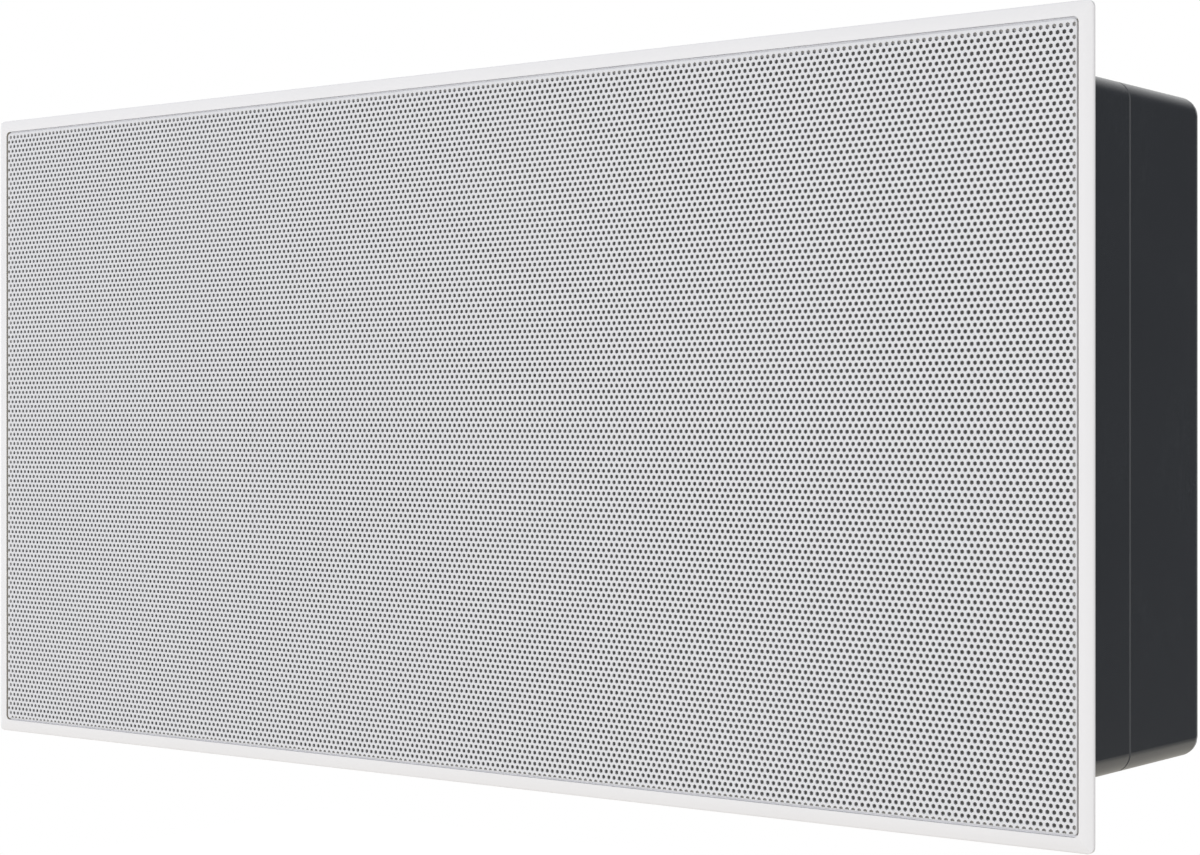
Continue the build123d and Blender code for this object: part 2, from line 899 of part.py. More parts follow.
def tweeter_plate():
    """Steel ring in front of the tweeter's magnet."""
    bore = tweeter_coil_radius + coil_gap
    return ring(tweeter_motor_radius, bore, tweeter_seat, tweeter_magnet_front)


def tweeter_magnet():
    """Ring magnet of the tweeter."""
    return ring(tweeter_motor_radius, tweeter_magnet_hole, tweeter_magnet_front, tweeter_yoke_front)


def tweeter_yoke():
    """Back plate and pole of the tweeter."""
    pole = tweeter_coil_radius - tweeter_former_thickness - coil_gap
    plate = disc(tweeter_motor_radius, tweeter_yoke_front, tweeter_chamber_front)
    return plate + disc(pole, tweeter_seat + dome_thickness, tweeter_yoke_front)


def tweeter_chamber():
    """Closed cup behind the tweeter's motor."""
    back = tweeter_chamber_front + tweeter_chamber_length
    cup = disc(tweeter_chamber_radius, tweeter_chamber_front, back)
    cup = fillet(cup.edges().group_by(Axis.Y)[-1], chamber_edge_round)
    inside = disc(tweeter_chamber_radius - chamber_wall, tweeter_chamber_front, back - chamber_wall)
    return cup - inside


def tweeter_screws():
    """Screws that hold the tweeter's face plate on the baffle."""
    return group(driver_screw(x, z) for x, z in tweeter_bolt_places())


def clamp_screw(side, level):
    """Long screw with a cross drive, held in the front wall and the back of the pocket."""
    x = side * clamp_x
    z = level * clamp_z
    front = clamp_head_depth - clamp_head
    tip = pocket_end + clamp_tip_depth
    screw = disc(clamp_head_radius, front, clamp_head_depth, x, z)
    screw += disc(clamp_screw_radius, clamp_head_depth, tip, x, z)
    slot_back = front + clamp_drive_depth
    long_half = clamp_drive_length / 2
    short_half = clamp_drive_width / 2
    cross = block(long_half, short_half, front, slot_back, x=x, z=z)
    cross += block(short_half, long_half, front, slot_back, x=x, z=z)
    return screw - cross


def clamp_bush(side, level):
    """Threaded bush that runs along the screw and carries the leg."""
    x = side * clamp_x
    z = level * clamp_z
    return ring(bush_radius, clamp_screw_radius + fit_gap, leg_rest, leg_rest + leg_height, x, z)


def clamp_leg(side, level):
    """Swinging leg, folded along the wall, with a stepped foot that grips the wall board."""
    arm_front = leg_rest + leg_foot_step
    leg_back = leg_rest + leg_height
    leg = disc(leg_hub_radius, leg_rest, leg_back)
    half = leg_arm_thickness / 2
    leg += block(leg_reach / 2, half, arm_front, leg_back, x=-side * leg_reach / 2)
    foot_x = -side * (leg_reach - leg_foot_length / 2)
    leg += block(leg_foot_length / 2, half, leg_rest, leg_back, x=foot_x)
    tip = leg.edges().filter_by(Axis.Y).group_by(Axis.X)[-1 if side < 0 else 0]
    leg = fillet(tip, leg_tip_round)
    leg -= disc(bush_radius + fit_gap, leg_rest, leg_back)
    return Pos(side * clamp_x, 0, level * clamp_z) * leg


def terminal_cup():
    """Sunk cup with a flush flange, two button guides and wire holes in its floor."""
    half_width = cup_width / 2
    half_height = cup_height / 2
    cup = block(half_width, half_height, guide_front, cup_rear, z=-terminal_drop)
    cup += block(half_width + cup_flange, half_height + cup_flange, cup_seat, cup_rear, z=-terminal_drop)
    cup -= block(half_width - cup_wall, half_height - cup_wall, cup_floor, cup_rear, z=-terminal_drop)
    hole_half_width = button_width / 2 + slide_gap
    hole_half_height = button_height / 2 + slide_gap
    guide_half_width = hole_half_width + guide_wall
    guide_half_height = hole_half_height + guide_wall
    guide_rear = cup_floor + guide_length
    cuts = []
    for side in sides.values():
        x = side * button_spacing / 2
        cup += block(guide_half_width, guide_half_height, guide_end, guide_rear, x=x, z=button_z)
        cuts.append(block(hole_half_width, hole_half_height, guide_end, guide_rear, x=x, z=button_z))
        cuts.append(disc(wire_hole_radius, guide_front, cup_floor, x, button_z - wire_hole_drop))
    for x, z in cup_screw_places():
        cuts.append(disc(small_screw_radius + fit_gap, cup_seat, cup_rear, x, z))
    return cup - cuts


def terminal_button(side):
    """Push button with a collar that stops it in its guide."""
    x = side * button_spacing / 2
    top = box_depth - button_top_depth
    key = block(button_width / 2, button_height / 2, guide_end, top, x=x, z=button_z)
    key = fillet(key.edges().group_by(Axis.Y)[-1], button_edge_round)
    collar = block(
        button_width / 2 + button_collar,
        button_height / 2 + button_collar,
        guide_end - button_collar_thickness,
        guide_end,
        x=x,
        z=button_z,
    )
    return key + collar


def terminal_contacts():
    """Two metal contacts on the inside of the cup's floor, each with a tab to the front."""
    pieces = []
    for side in sides.values():
        x = side * button_spacing / 2
        z = button_z - wire_hole_drop - wire_hole_radius - contact_foot / 2 - drop_in_gap
        foot_front = guide_front - contact_thickness
        foot = block(contact_width / 2, contact_foot / 2, foot_front, guide_front, x=x, z=z)
        tab_front = guide_front - contact_tab
        tab_z = z - contact_foot / 2 + contact_thickness / 2
        tab = block(contact_width / 2, contact_thickness / 2, tab_front, guide_front, x=x, z=tab_z)
        pieces.append(foot + tab)
    return group(pieces)


def terminal_screws():
    """Screws that hold the cup in the rear wall."""
    length = cup_flange_thickness + small_screw_length - slide_gap
    return group(
        rear_screw(
            x, z, cup_rear, length, small_screw_radius, small_screw_head_radius, small_screw_head
        )
        for x, z in cup_screw_places()
    )


def crossover_board():
    """Circuit board on the standoffs."""
    board = block(board_width / 2, board_height / 2, board_front, board_back, z=board_lift)
    holes = [
        disc(small_screw_radius + fit_gap, board_front, board_back, x, z) for x, z in board_places()
    ]
    return board - holes


def crossover_inductors():
    """Two air-core coils standing on the board."""
    z = board_lift + inductor_lift
    return group(
        ring(
            inductor_radius,
            inductor_hole_radius,
            board_front - inductor_height,
            board_front,
            side * inductor_spacing / 2,
            z,
        )
        for side in sides.values()
    )


def crossover_capacitors():
    """Row of upright capacitors."""
    z = board_lift - capacitor_drop
    return group(
        disc(capacitor_radius, board_front - capacitor_height, board_front, i * capacitor_spacing, z)
        for i in (-1, 0, 1)
    )


def crossover_resistors():
    """Two block resistors along the lower edge of the board."""
    z = board_lift - resistor_drop
    return group(
        block(
            resistor_length / 2,
            resistor_size / 2,
            board_front - resistor_size,
            board_front,
            x=side * resistor_spacing / 2,
            z=z,
        )
        for side in sides.values()
    )


def crossover_screws():
    """Screws that hold the board on its standoffs."""
    length = board_thickness + small_screw_length - slide_gap
    return group(
        front_screw(
            x, z, board_front, length, small_screw_radius, small_screw_head_radius, small_screw_head
        )
        for x, z in board_places()
    )


def damping_pads():
    """Soft pads on the rear wall behind the woofers."""
    return group(
        block(
            damping_width / 2,
            damping_height / 2,
            rear_inside - damping_thickness,
            rear_inside,
            x=side * woofer_x,
        )
        for side in sides.values()
    )


def all_nodes():
    """Every piece of the speaker by its node name."""
    nodes = {
        "trim_flange": trim_flange(),
        "grille": grille(),
        "grille_scrim": grille_scrim(),
        "grille_magnets": grille_magnets(),
        "front_chassis": front_chassis(),
        "seam_gasket": seam_gasket(),
        "rear_cover": rear_cover(),
        "cover_screws": cover_screws(),
        "woofer_screws": woofer_screws(),
        "tweeter_faceplate": tweeter_faceplate(),
        "tweeter_dome": tweeter_dome(),
        "tweeter_coil": tweeter_coil(),
        "tweeter_plate": tweeter_plate(),
        "tweeter_magnet": tweeter_magnet(),
        "tweeter_yoke": tweeter_yoke(),
        "tweeter_chamber": tweeter_chamber(),
        "tweeter_screws": tweeter_screws(),
        "terminal_cup": terminal_cup(),
        "terminal_button_red": terminal_button(sides["left"]),
        "terminal_button_black": terminal_button(sides["right"]),
        "terminal_contacts": terminal_contacts(),
        "terminal_screws": terminal_screws(),
        "crossover_board": crossover_board(),
        "crossover_inductors": crossover_inductors(),
        "crossover_capacitors": crossover_capacitors(),
        "crossover_resistors": crossover_resistors(),
        "crossover_screws": crossover_screws(),
        "damping_pads": damping_pads(),
    }
    for name, side in sides.items():
        x = side * woofer_x
        nodes[f"woofer_{name}_basket"] = woofer_basket(x)
        nodes[f"woofer_{name}_surround"] = woofer_surround(x)
        nodes[f"woofer_{name}_cone"] = woofer_cone(x)
        nodes[f"woofer_{name}_dust_cap"] = woofer_dust_cap(x)
        nodes[f"woofer_{name}_spider"] = woofer_spider(x)
        nodes[f"woofer_{name}_voice_coil"] = woofer_voice_coil(x)
        nodes[f"woofer_{name}_top_plate"] = woofer_top_plate(x)
        nodes[f"woofer_{name}_magnet"] = woofer_magnet(x)
        nodes[f"woofer_{name}_yoke"] = woofer_yoke(x)
    for place, (side, level) in clamp_places.items():
        nodes[f"clamp_{place}_screw"] = clamp_screw(side, level)
        nodes[f"clamp_{place}_bush"] = clamp_bush(side, level)
        nodes[f"clamp_{place}_leg"] = clamp_leg(side, level)
    return nodes


os.makedirs("parts", exist_ok=True)
for node_name, shape in all_nodes().items():
    shape.label = node_name
    export_step(shape, f"parts/{node_name}.step")
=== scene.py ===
"""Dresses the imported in-wall speaker: perforated grille, suspension, screws, finishes and studio."""
import logging
import math
from dataclasses import dataclass
from enum import Enum
from functools import partial, reduce
from operator import add, mul
from typing import Any, ClassVar, Sequence

import bpy
import numpy as np
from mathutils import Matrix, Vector


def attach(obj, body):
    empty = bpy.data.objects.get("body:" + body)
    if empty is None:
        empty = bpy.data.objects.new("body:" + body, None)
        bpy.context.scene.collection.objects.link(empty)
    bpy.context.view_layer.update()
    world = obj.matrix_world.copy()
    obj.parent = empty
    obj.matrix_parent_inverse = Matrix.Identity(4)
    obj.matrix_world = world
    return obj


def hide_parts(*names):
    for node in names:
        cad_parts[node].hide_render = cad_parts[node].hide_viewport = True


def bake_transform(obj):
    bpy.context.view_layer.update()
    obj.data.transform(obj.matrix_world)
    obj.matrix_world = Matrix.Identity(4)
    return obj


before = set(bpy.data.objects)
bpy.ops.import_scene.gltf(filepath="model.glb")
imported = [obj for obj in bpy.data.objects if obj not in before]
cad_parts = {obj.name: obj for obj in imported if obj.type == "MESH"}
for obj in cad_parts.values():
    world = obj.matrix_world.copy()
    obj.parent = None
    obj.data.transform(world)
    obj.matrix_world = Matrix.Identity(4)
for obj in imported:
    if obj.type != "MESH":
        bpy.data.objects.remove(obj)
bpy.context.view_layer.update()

MM = 0.001
IMAGE_WIDTH, IMAGE_HEIGHT = 1200, 855
WOOFER_X = 121.0
SIDES = {"left": -1, "right": 1}
LEVELS = {"top": 1, "bottom": -1}
ROUNDING = 1e-6  # a difference that only rounding makes, in the unit at hand
NEVER_ZERO = 1e-9  # least divisor
WHITE = (1.0, 1.0, 1.0, 1.0)
log = logging.getLogger("speaker")

Pair = tuple[float, float]
Triple = tuple[float, float, float]  # a colour, a place or a scale
Inputs = dict[str | int, Any]  # values and wires by the name or number of a node's input
Surface = tuple[np.ndarray, np.ndarray]  # points in metres, and faces that are all alike
Solid = tuple[np.ndarray, list[np.ndarray]]  # points in metres, and faces in arrays by their number of corners


class Direction(Enum):
    """Which way a screw's head faces along the depth axis."""

    FRONT = -1
    REAR = 1


# Shader maths


class Wire:
    """A socket of a node tree; arithmetic on it adds Math nodes."""

    def __init__(self, bench: "NodeBench", socket: bpy.types.NodeSocket) -> None:
        """Keeps the bench that makes nodes and the socket that gives the value."""
        self.bench = bench
        self.socket = socket

    def _math(self, operation: str, first: Any, second: Any = 0.0) -> "Wire":
        """Adds one Math node for two values or wires."""
        return self.bench.node("ShaderNodeMath", {"operation": operation}, {0: first, 1: second})

    def __add__(self, other: Any) -> "Wire":
        """Sum."""
        return self._math("ADD", self, other)

    def __sub__(self, other: Any) -> "Wire":
        """Difference."""
        return self._math("SUBTRACT", self, other)

    def __rsub__(self, other: Any) -> "Wire":
        """Difference from a number on the left."""
        return self._math("SUBTRACT", other, self)

    def __mul__(self, other: Any) -> "Wire":
        """Product."""
        return self._math("MULTIPLY", self, other)

    def __pow__(self, other: Any) -> "Wire":
        """Power."""
        return self._math("POWER", self, other)

    def sine(self) -> "Wire":
        """Sine of the value."""
        return self._math("SINE", self)

    def absolute(self) -> "Wire":
        """Value without its sign."""
        return self._math("ABSOLUTE", self)

    def at_least(self, low: float) -> "Wire":
        """Value, but no lower than a bound."""
        return self._math("MAXIMUM", self, low)

    def at_most(self, high: float) -> "Wire":
        """Value, but no higher than a bound."""
        return self._math("MINIMUM", self, high)

    def held(self) -> "Wire":
        """Value, but no lower than 0 and no higher than 1."""
        return self.at_least(0.0).at_most(1.0)

    def between(self, low: float, high: float) -> "Wire":
        """Value from 0 to 1, carried to a range."""
        return self * (high - low) + low


class NodeBench:
    """Builds one node tree, of a material or of the world."""

    def __init__(self, owner: Any) -> None:
        """Empties the owner's node tree.

        Args:
            owner: A material or a world.
        """
        owner.use_nodes = True
        self.owner = owner
        self.tree = owner.node_tree
        self.tree.nodes.clear()

    def node(
        self, kind: str, settings: Inputs | None = None, sockets: Inputs | None = None, out: str | int = 0
    ) -> Wire:
        """Adds any node.

        Args:
            kind: The node's type.
            settings: Its properties, set first.
            sockets: Values or wires by the input's name or number.
            out: The output's name or number.

        Returns:
            A wire on that output, or on the first input where the node has no output.
        """
        made = self.tree.nodes.new(kind)
        for key, value in (settings or {}).items():
            setattr(made, key, value)
        for key, value in (sockets or {}).items():
            if isinstance(value, Wire):
                self.tree.links.new(value.socket, made.inputs[key])
            else:
                made.inputs[key].default_value = value
        return Wire(self, made.outputs[out] if made.outputs else made.inputs[0])

    def place(self, out: str = "Object") -> Wire:
        """Coordinates of the surface."""
        return self.node("ShaderNodeTexCoord", out=out)

    def axes(self, vector: Wire | None = None) -> tuple[Wire, Wire, Wire]:
        """The three parts of a vector, of the object's own place by default."""
        split = self.node("ShaderNodeSeparateXYZ", sockets={0: vector or self.place()})
        return tuple(Wire(self, part) for part in split.socket.node.outputs)

    def scaled(self, factors: Triple) -> Wire:
        """The surface's own place, drawn out or pressed along each axis."""
        return self.node("ShaderNodeMapping", sockets={"Vector": self.place(), "Scale": factors})

    def noise(self, per_mm: float, detail: float, vector: Wire | None = None) -> Wire:
        """Cloudy value from 0 to 1, with so many clouds in a millimetre and octaves, from the object's own place."""
        sockets = {"Vector": vector or self.place(), "Scale": per_mm / MM, "Detail": detail}
        return self.node("ShaderNodeTexNoise", sockets=sockets)

    def cells(self, per_mm: float, distance: str = "EUCLIDEAN") -> Wire:
        """Distance from the middle of the nearest of many scattered cells."""
        sockets = {"Vector": self.place(), "Scale": per_mm / MM}
        return self.node("ShaderNodeTexVoronoi", {"distance": distance}, sockets)

    def mix(self, factor: Wire, low: Any, high: Any) -> Wire:
        """Colour between two colours."""
        ends = [c if isinstance(c, Wire) else (*c, 1.0) for c in (low, high)]
        return self.node("ShaderNodeMix", {"data_type": "RGBA"}, {0: factor, 6: ends[0], 7: ends[1]}, out=2)

    def bump(self, height: Wire, depth_mm: float) -> Wire:
        """Normal that follows a height, of which 1 stands for a depth in millimetres."""
        return self.node("ShaderNodeBump", sockets={"Height": height, "Distance": depth_mm * MM})


# Finishes


@dataclass(frozen=True)
class Finish:
    """A finish whose tone, gloss and height each mix the same few layers in their own shares."""

    name: str
    light: Triple
    dark: Triple
    roughness: float = 0.5
    depth_mm: float = 0.01
    specular: float = 0.5
    coat: float = 0.0

    noises: ClassVar[Sequence[Pair]] = ()
    tint: ClassVar[Sequence[float]] = (1.0, 0.0)
    dull: ClassVar[Sequence[float]] = (1.0, 0.0)
    lift: ClassVar[Sequence[float]] = (1.0, 0.0)
    gloss: ClassVar[Pair] = (-0.1, 0.1)
    fixed: ClassVar[Inputs] = {}

    def layers(self, bench: NodeBench) -> list[Wire]:
        """Values from 0 to 1 over the surface, by default a noise for each pair of scale and detail."""
        return [bench.noise(per_mm, detail) for per_mm, detail in self.noises]

    def tone(self, share: Wire) -> Wire:
        """Colour between the dark tone and the light one."""
        return share.bench.mix(share, self.dark, self.light)

    def build(self) -> bpy.types.Material:
        """Makes the material: sums of the layers by the shares in tint, dull and lift.

        Returns:
            The material, which ends in one glossy-and-diffuse shader.
        """
        bench = NodeBench(bpy.data.materials.new(self.name))
        layers = self.layers(bench)
        tint, dull, height = [
            reduce(add, [layer * share for layer, share in zip(layers, shares) if share])
            for shares in (self.tint, self.dull, self.lift)
        ]
        shader = bench.node("ShaderNodeBsdfPrincipled", sockets={
            "Base Color": self.tone(tint),
            "Roughness": dull.between(self.roughness + self.gloss[0], self.roughness + self.gloss[1]),
            "Specular IOR Level": self.specular,
            "Coat Weight": self.coat,
            "Normal": bench.bump(height, self.depth_mm),
            **self.fixed,
        })
        bench.node("ShaderNodeOutputMaterial", sockets={"Surface": shader})
        return bench.owner


@dataclass(frozen=True)
class Moulding(Finish):
    """Injection-moulded plastic: faint flow clouds, a sparked grain and a finer one."""

    depth_mm: float = 0.012
    grain_per_mm: float = 3.0
    fine_ratio: float = 2.7
    clouds_per_mm: float = 0.02
    tint = (0.6, 0.4, 0.0)
    dull = (0.5, 0.0, 0.5)
    lift = (0.0, 0.65, 0.35)
    gloss = (-0.06, 0.06)

    def layers(self, bench: NodeBench) -> list[Wire]:
        """Clouds, grain and fine grain."""
        scales = [self.clouds_per_mm, self.grain_per_mm, self.grain_per_mm * self.fine_ratio]
        return [bench.noise(per_mm, detail) for per_mm, detail in zip(scales, (3.0, 2.0, 1.0))]


@dataclass(frozen=True)
class TrimMoulding(Finish):
    """Smooth moulded trim, clouds and grain, with painted shade: a darker line in the upright gaps beside the
    grille.
    """

    depth_mm: float = 0.006
    specular: float = 0.4
    # painted shade: tan-grey colour for the shadowed gap walls and ledge beside the grille
    painted_gap_shade: Triple = (0.44, 0.41, 0.35)
    half_width: float = 219.82
    half_height: float = 109.82
    crest: float = -2.2
    floor: float = -1.05
    line: float = 1.0
    steep_per_mm: float = 50.0
    noises = ((0.02, 3.0), (2.2, 2.0))
    tint = (0.6, 0.4)
    dull = (0.5, 0.5)
    lift = (0.0, 1.0)
    gloss = (-0.06, 0.06)

    def tone(self, share: Wire) -> Wire:
        """Colour of the trim, or painted shade in the upright gaps where a mask by place is 1: the product of five
        steep steps.

        Args:
            share: Share of the light tone.

        Returns:
            The colour's wire.
        """
        x, y, z = share.bench.axes()
        across = self.half_width * MM - x.absolute()
        upwards = self.half_height * MM - z.absolute()
        inside = [across, self.line * MM - across, upwards, y - self.crest * MM, self.floor * MM - y]
        # painted shade mask: 1 within a millimetre inside the trim's inner edge at left and right, between the crest
        # and the ledge's floor
        mask = reduce(mul, [(limit * (self.steep_per_mm / MM)).held() for limit in inside])
        return share.bench.mix(mask, super().tone(share), self.painted_gap_shade)


@dataclass(frozen=True)
class PowderCoat(Finish):
    """Baked paint on sheet steel: a shallow orange peel and a fine speckle."""

    roughness: float = 0.45
    specular: float = 0.4
    noises = ((1.1, 2.0), (5.5, 1.0))
    tint = (0.5, 0.5)
    gloss = (-0.05, 0.08)


@dataclass(frozen=True)
class Metal(Finish):
    """Plated or turned metal: fine tool lines round or along the depth axis, and dull clouds."""

    roughness: float = 0.3
    depth_mm: float = 0.008
    tint = dull = (0.4, 0.6)
    gloss = (-0.1, 0.15)
    fixed = {"Metallic": 1.0}

    def layers(self, bench: NodeBench) -> list[Wire]:
        """Tool lines, as noise stretched along X and Z, and clouds."""
        place = bench.scaled((0.15, 1.0, 0.15))
        return [bench.noise(per_mm=4.0, detail=3.0, vector=place), bench.noise(per_mm=0.25, detail=4.0)]


@dataclass(frozen=True)
class Mineral(Finish):
    """Ground ferrite, cement or another dull mineral body: a coarse mottle and pits."""

    roughness: float = 0.7
    depth_mm: float = 0.03
    lift = (0.5, 0.5)

    def layers(self, bench: NodeBench) -> list[Wire]:
        """Mottle and pits."""
        return [bench.noise(per_mm=0.5, detail=5.0), bench.cells(per_mm=1.6)]


@dataclass(frozen=True)
class Rubber(Finish):
    """Soft moulded rubber: a dusty bloom and a very fine skin."""

    roughness: float = 0.62
    specular: float = 0.35
    noises = ((0.08, 4.0), (5.0, 2.0))
    dull = (0.7, 0.3)
    lift = (0.0, 1.0)
    gloss = (-0.1, 0.12)


@dataclass(frozen=True)
class Weave(Finish):
    """Plain-woven cloth seen along the depth axis: crossed threads over and under each other, and fibres."""

    threads_per_mm: float = 4.0
    fibre_share: float = 0.2
    dull = (0.0, 1.0)
    gloss = (-0.05, 0.1)
    fixed = {"Sheen Weight": 0.15}

    def layers(self, bench: NodeBench) -> list[Wire]:
        """Height of two sine thread fields, of which the higher one shows, and fibres.

        Args:
            bench: The material's bench.

        Returns:
            The two wires.
        """
        x, _, z = bench.axes()
        turn = math.pi * self.threads_per_mm / MM
        warp, weft = (x * turn).sine().absolute(), (z * turn).sine().absolute()
        over = (x * (turn / 2)).sine() * (z * (turn / 2)).sine()
        fibre = bench.noise(self.threads_per_mm * 3.0, detail=2.0)
        threads = warp * (over * 0.5 + 0.5) + weft * (0.5 - over * 0.5)
        return [threads * (1 - self.fibre_share) + fibre * self.fibre_share, fibre]


@dataclass(frozen=True)
class ConeSkin(Finish):
    """Pressed cone skin: fine rings about each woofer's own axis, and fibres."""

    roughness: float = 0.45
    depth_mm: float = 0.03
    specular: float = 0.4
    rings_per_mm: float = 0.9
    tint = (0.3, 0.7)
    dull = (0.0, 1.0)
    lift = (0.5, 0.5)
    gloss = (0.0, 0.17)

    def layers(self, bench: NodeBench) -> list[Wire]:
        """Rings, as a sine of the distance from the woofer's axis, and fibres.

        Args:
            bench: The material's bench.

        Returns:
            The two wires.
        """
        x, _, z = bench.axes()
        across = x.absolute() - WOOFER_X * MM
        radius = (across * across + z * z) ** 0.5
        rings = (radius * (2 * math.pi * self.rings_per_mm / MM)).sine() * 0.5 + 0.5
        return [rings, bench.noise(per_mm=1.5, detail=4.0)]


@dataclass(frozen=True)
class Winding(Finish):
    """Enamelled copper wire: fine round bands along the depth axis, and patches."""

    roughness: float = 0.22
    depth_mm: float = 0.08
    wires_per_mm: float = 3.0
    tint = (0.5, 0.5)
    dull = (0.0, 1.0)
    gloss = (0.0, 0.18)
    fixed = {"Metallic": 0.9}

    def layers(self, bench: NodeBench) -> list[Wire]:
        """Bands, one to a wire, and patches."""
        bands = (bench.axes()[1] * (math.pi * self.wires_per_mm / MM)).sine().absolute()
        return [bands, bench.noise(per_mm=0.4, detail=3.0)]


@dataclass(frozen=True)
class CircuitBoard(Finish):
    """Solder-masked board: broad copper areas under the mask, and fibres."""

    roughness: float = 0.28
    depth_mm: float = 0.035
    lightest: float = 0.8
    steep: float = 6.0
    start: float = 2.0
    tint = (0.4, 0.3)
    dull = (0.0, 1.0)
    gloss = (0.0, 0.14)

    def layers(self, bench: NodeBench) -> list[Wire]:
        """Square cells of copper, and fibres."""
        areas = bench.cells(per_mm=0.2, distance="CHEBYCHEV") * self.steep - self.start
        return [areas.held(), bench.noise(per_mm=2.0, detail=2.0)]

    def tone(self, share: Wire) -> Wire:
        """Colour that the layers darken."""
        return super().tone(self.lightest - share)


@dataclass(frozen=True)
class Wadding(Finish):
    """Polyester wadding: tangled pale fibres along two directions."""

    roughness: float = 0.85
    depth_mm: float = 0.4
    tint = dull = lift = (0.5, 0.5)
    gloss = (0.0, 0.15)
    fixed = {"Sheen Weight": 0.3}

    def layers(self, bench: NodeBench) -> list[Wire]:
        """Noises stretched across and upwards."""
        stretches = ((0.2, 1.0, 1.0), (1.0, 1.0, 0.2))
        return [bench.noise(per_mm=1.6, detail=5.0, vector=bench.scaled(factors)) for factors in stretches]


class Finishes:
    """Every finish of the speaker, made once and looked up by name."""

    def __init__(self) -> None:
        """Makes the materials."""
        kinds = [
            TrimMoulding("trim_white", (0.826, 0.827, 0.857), (0.791, 0.792, 0.821)),
            PowderCoat("grille_white", (0.731, 0.741, 0.781), (0.695, 0.705, 0.744)),
            # darker grey for the rim's seat behind the outermost holes
            PowderCoat("rim_seat_grey", (0.34, 0.33, 0.31), (0.26, 0.25, 0.24), 0.7),
            Weave("scrim_black", (0.12, 0.118, 0.115), (0.05, 0.049, 0.048), 0.9, 0.05),
            Moulding("box_black", (0.036, 0.041, 0.050), (0.029, 0.033, 0.041), 0.26, 0.003, 0.7, grain_per_mm=2.5),
            Moulding("leg_black", (0.05, 0.05, 0.053), (0.03, 0.03, 0.032), 0.55, 0.02, 0.4, grain_per_mm=1.5),
            Moulding("faceplate_black", (0.03, 0.03, 0.032), (0.018, 0.018, 0.02), 0.45, specular=0.4),
            Moulding("button_red", (0.62, 0.03, 0.028), (0.5, 0.02, 0.02), 0.35, 0.006, 0.5, 0.2, 2.0),
            Moulding("button_black", (0.035, 0.035, 0.037), (0.02, 0.02, 0.022), 0.35, 0.006, 0.5, 0.2, 2.0),
            Moulding("capacitor_sleeve", (0.05, 0.08, 0.32), (0.03, 0.05, 0.22), 0.3, 0.01, 0.5, 0.3, 1.0),
            PowderCoat("basket_black", (0.05, 0.05, 0.052), (0.03, 0.03, 0.032), 0.5),
            Rubber("surround_rubber", (0.045, 0.045, 0.047), (0.022, 0.022, 0.023)),
            Rubber("seal_rubber", (0.03, 0.03, 0.03), (0.015, 0.015, 0.015), 0.75),
            ConeSkin("cone_skin", (0.075, 0.075, 0.08), (0.035, 0.035, 0.038)),
            Weave("spider_cloth", (0.55, 0.36, 0.15), (0.3, 0.18, 0.06), 0.8, 0.12, threads_per_mm=1.4),
            Weave("dome_cloth", (0.05, 0.05, 0.052), (0.02, 0.02, 0.021), 0.6, 0.03, threads_per_mm=3.0),
            Metal("zinc_steel", (0.72, 0.73, 0.75), (0.5, 0.51, 0.53), 0.3),
            Metal("black_screw", (0.16, 0.16, 0.165), (0.08, 0.08, 0.085), 0.38),
            Metal("nickel", (0.78, 0.76, 0.72), (0.62, 0.6, 0.57), 0.2),
            Metal("brass", (0.78, 0.6, 0.28), (0.56, 0.4, 0.16), 0.28),
            Mineral("ferrite", (0.11, 0.11, 0.115), (0.05, 0.05, 0.053)),
            Mineral("cement", (0.78, 0.76, 0.7), (0.62, 0.6, 0.55)),
            Winding("copper_wire", (0.72, 0.36, 0.18), (0.4, 0.17, 0.07)),
            CircuitBoard("board_green", (0.05, 0.22, 0.09), (0.02, 0.1, 0.035)),
            Wadding("wadding", (0.8, 0.8, 0.78), (0.55, 0.55, 0.53)),
        ]
        self.made = {kind.name: kind.build() for kind in kinds}

    def dress(self, thing: bpy.types.Object, finish: str) -> None:
        """Puts one finish, by its name, on a new piece or on a node of the frame.

        Args:
            thing: The piece or node.
            finish: The finish's name.
        """
        thing.data.materials.clear()
        thing.data.materials.append(self.made[finish])
        log.info("%s: %s", thing.name, finish)

    def dress_nodes(self, parts: dict[str, str], prefix: str = "") -> None:
        """Puts finishes on nodes of the frame, each by the part of its name after a prefix."""
        for part, finish in parts.items():
            self.dress(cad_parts[prefix + part], finish)


@dataclass
class Assembly:
    """A sub-assembly, which is dressed from the speaker's finishes."""

    finishes: Finishes


# Meshes


def linked(name: str, data: bpy.types.ID) -> bpy.types.Object:
    """Puts new data into the scene as an object at the origin.

    Args:
        name: The object's name.
        data: A mesh, camera or lamp.

    Returns:
        The linked object.
    """
    made = bpy.data.objects.new(name, data)
    bpy.context.scene.collection.objects.link(made)
    return made


def mesh_object(
    name: str, points: np.ndarray, faces: Sequence[np.ndarray], sharp_degrees: float = 40.0
) -> bpy.types.Object:
    """Puts whole arrays into a mesh object at the origin.

    Args:
        name: The piece's name.
        points: Places in metres, one row each.
        faces: Arrays of corner numbers, one row a face, all rows of an array alike.
        sharp_degrees: Edges that turn by more than this stay sharp.

    Returns:
        The linked object.
    """
    mesh = bpy.data.meshes.new(name)
    corners = np.concatenate([f.ravel() for f in faces]).astype(np.int32)
    counts = np.concatenate([np.full(len(f), f.shape[1]) for f in faces])
    starts = np.concatenate([[0], np.cumsum(counts)[:-1]]).astype(np.int32)
    mesh.vertices.add(len(points))
    mesh.vertices.foreach_set("co", np.ascontiguousarray(points, dtype=np.float32).ravel())
    mesh.loops.add(len(corners))
    mesh.loops.foreach_set("vertex_index", corners)
    mesh.polygons.add(len(counts))
    mesh.polygons.foreach_set("loop_start", starts)
    mesh.update(calc_edges=True)
    mesh.validate()
    mesh.polygons.foreach_set("use_smooth", np.ones(len(mesh.polygons), dtype=bool))
    mesh.set_sharp_from_angle(angle=math.radians(sharp_degrees))
    return linked(name, mesh)


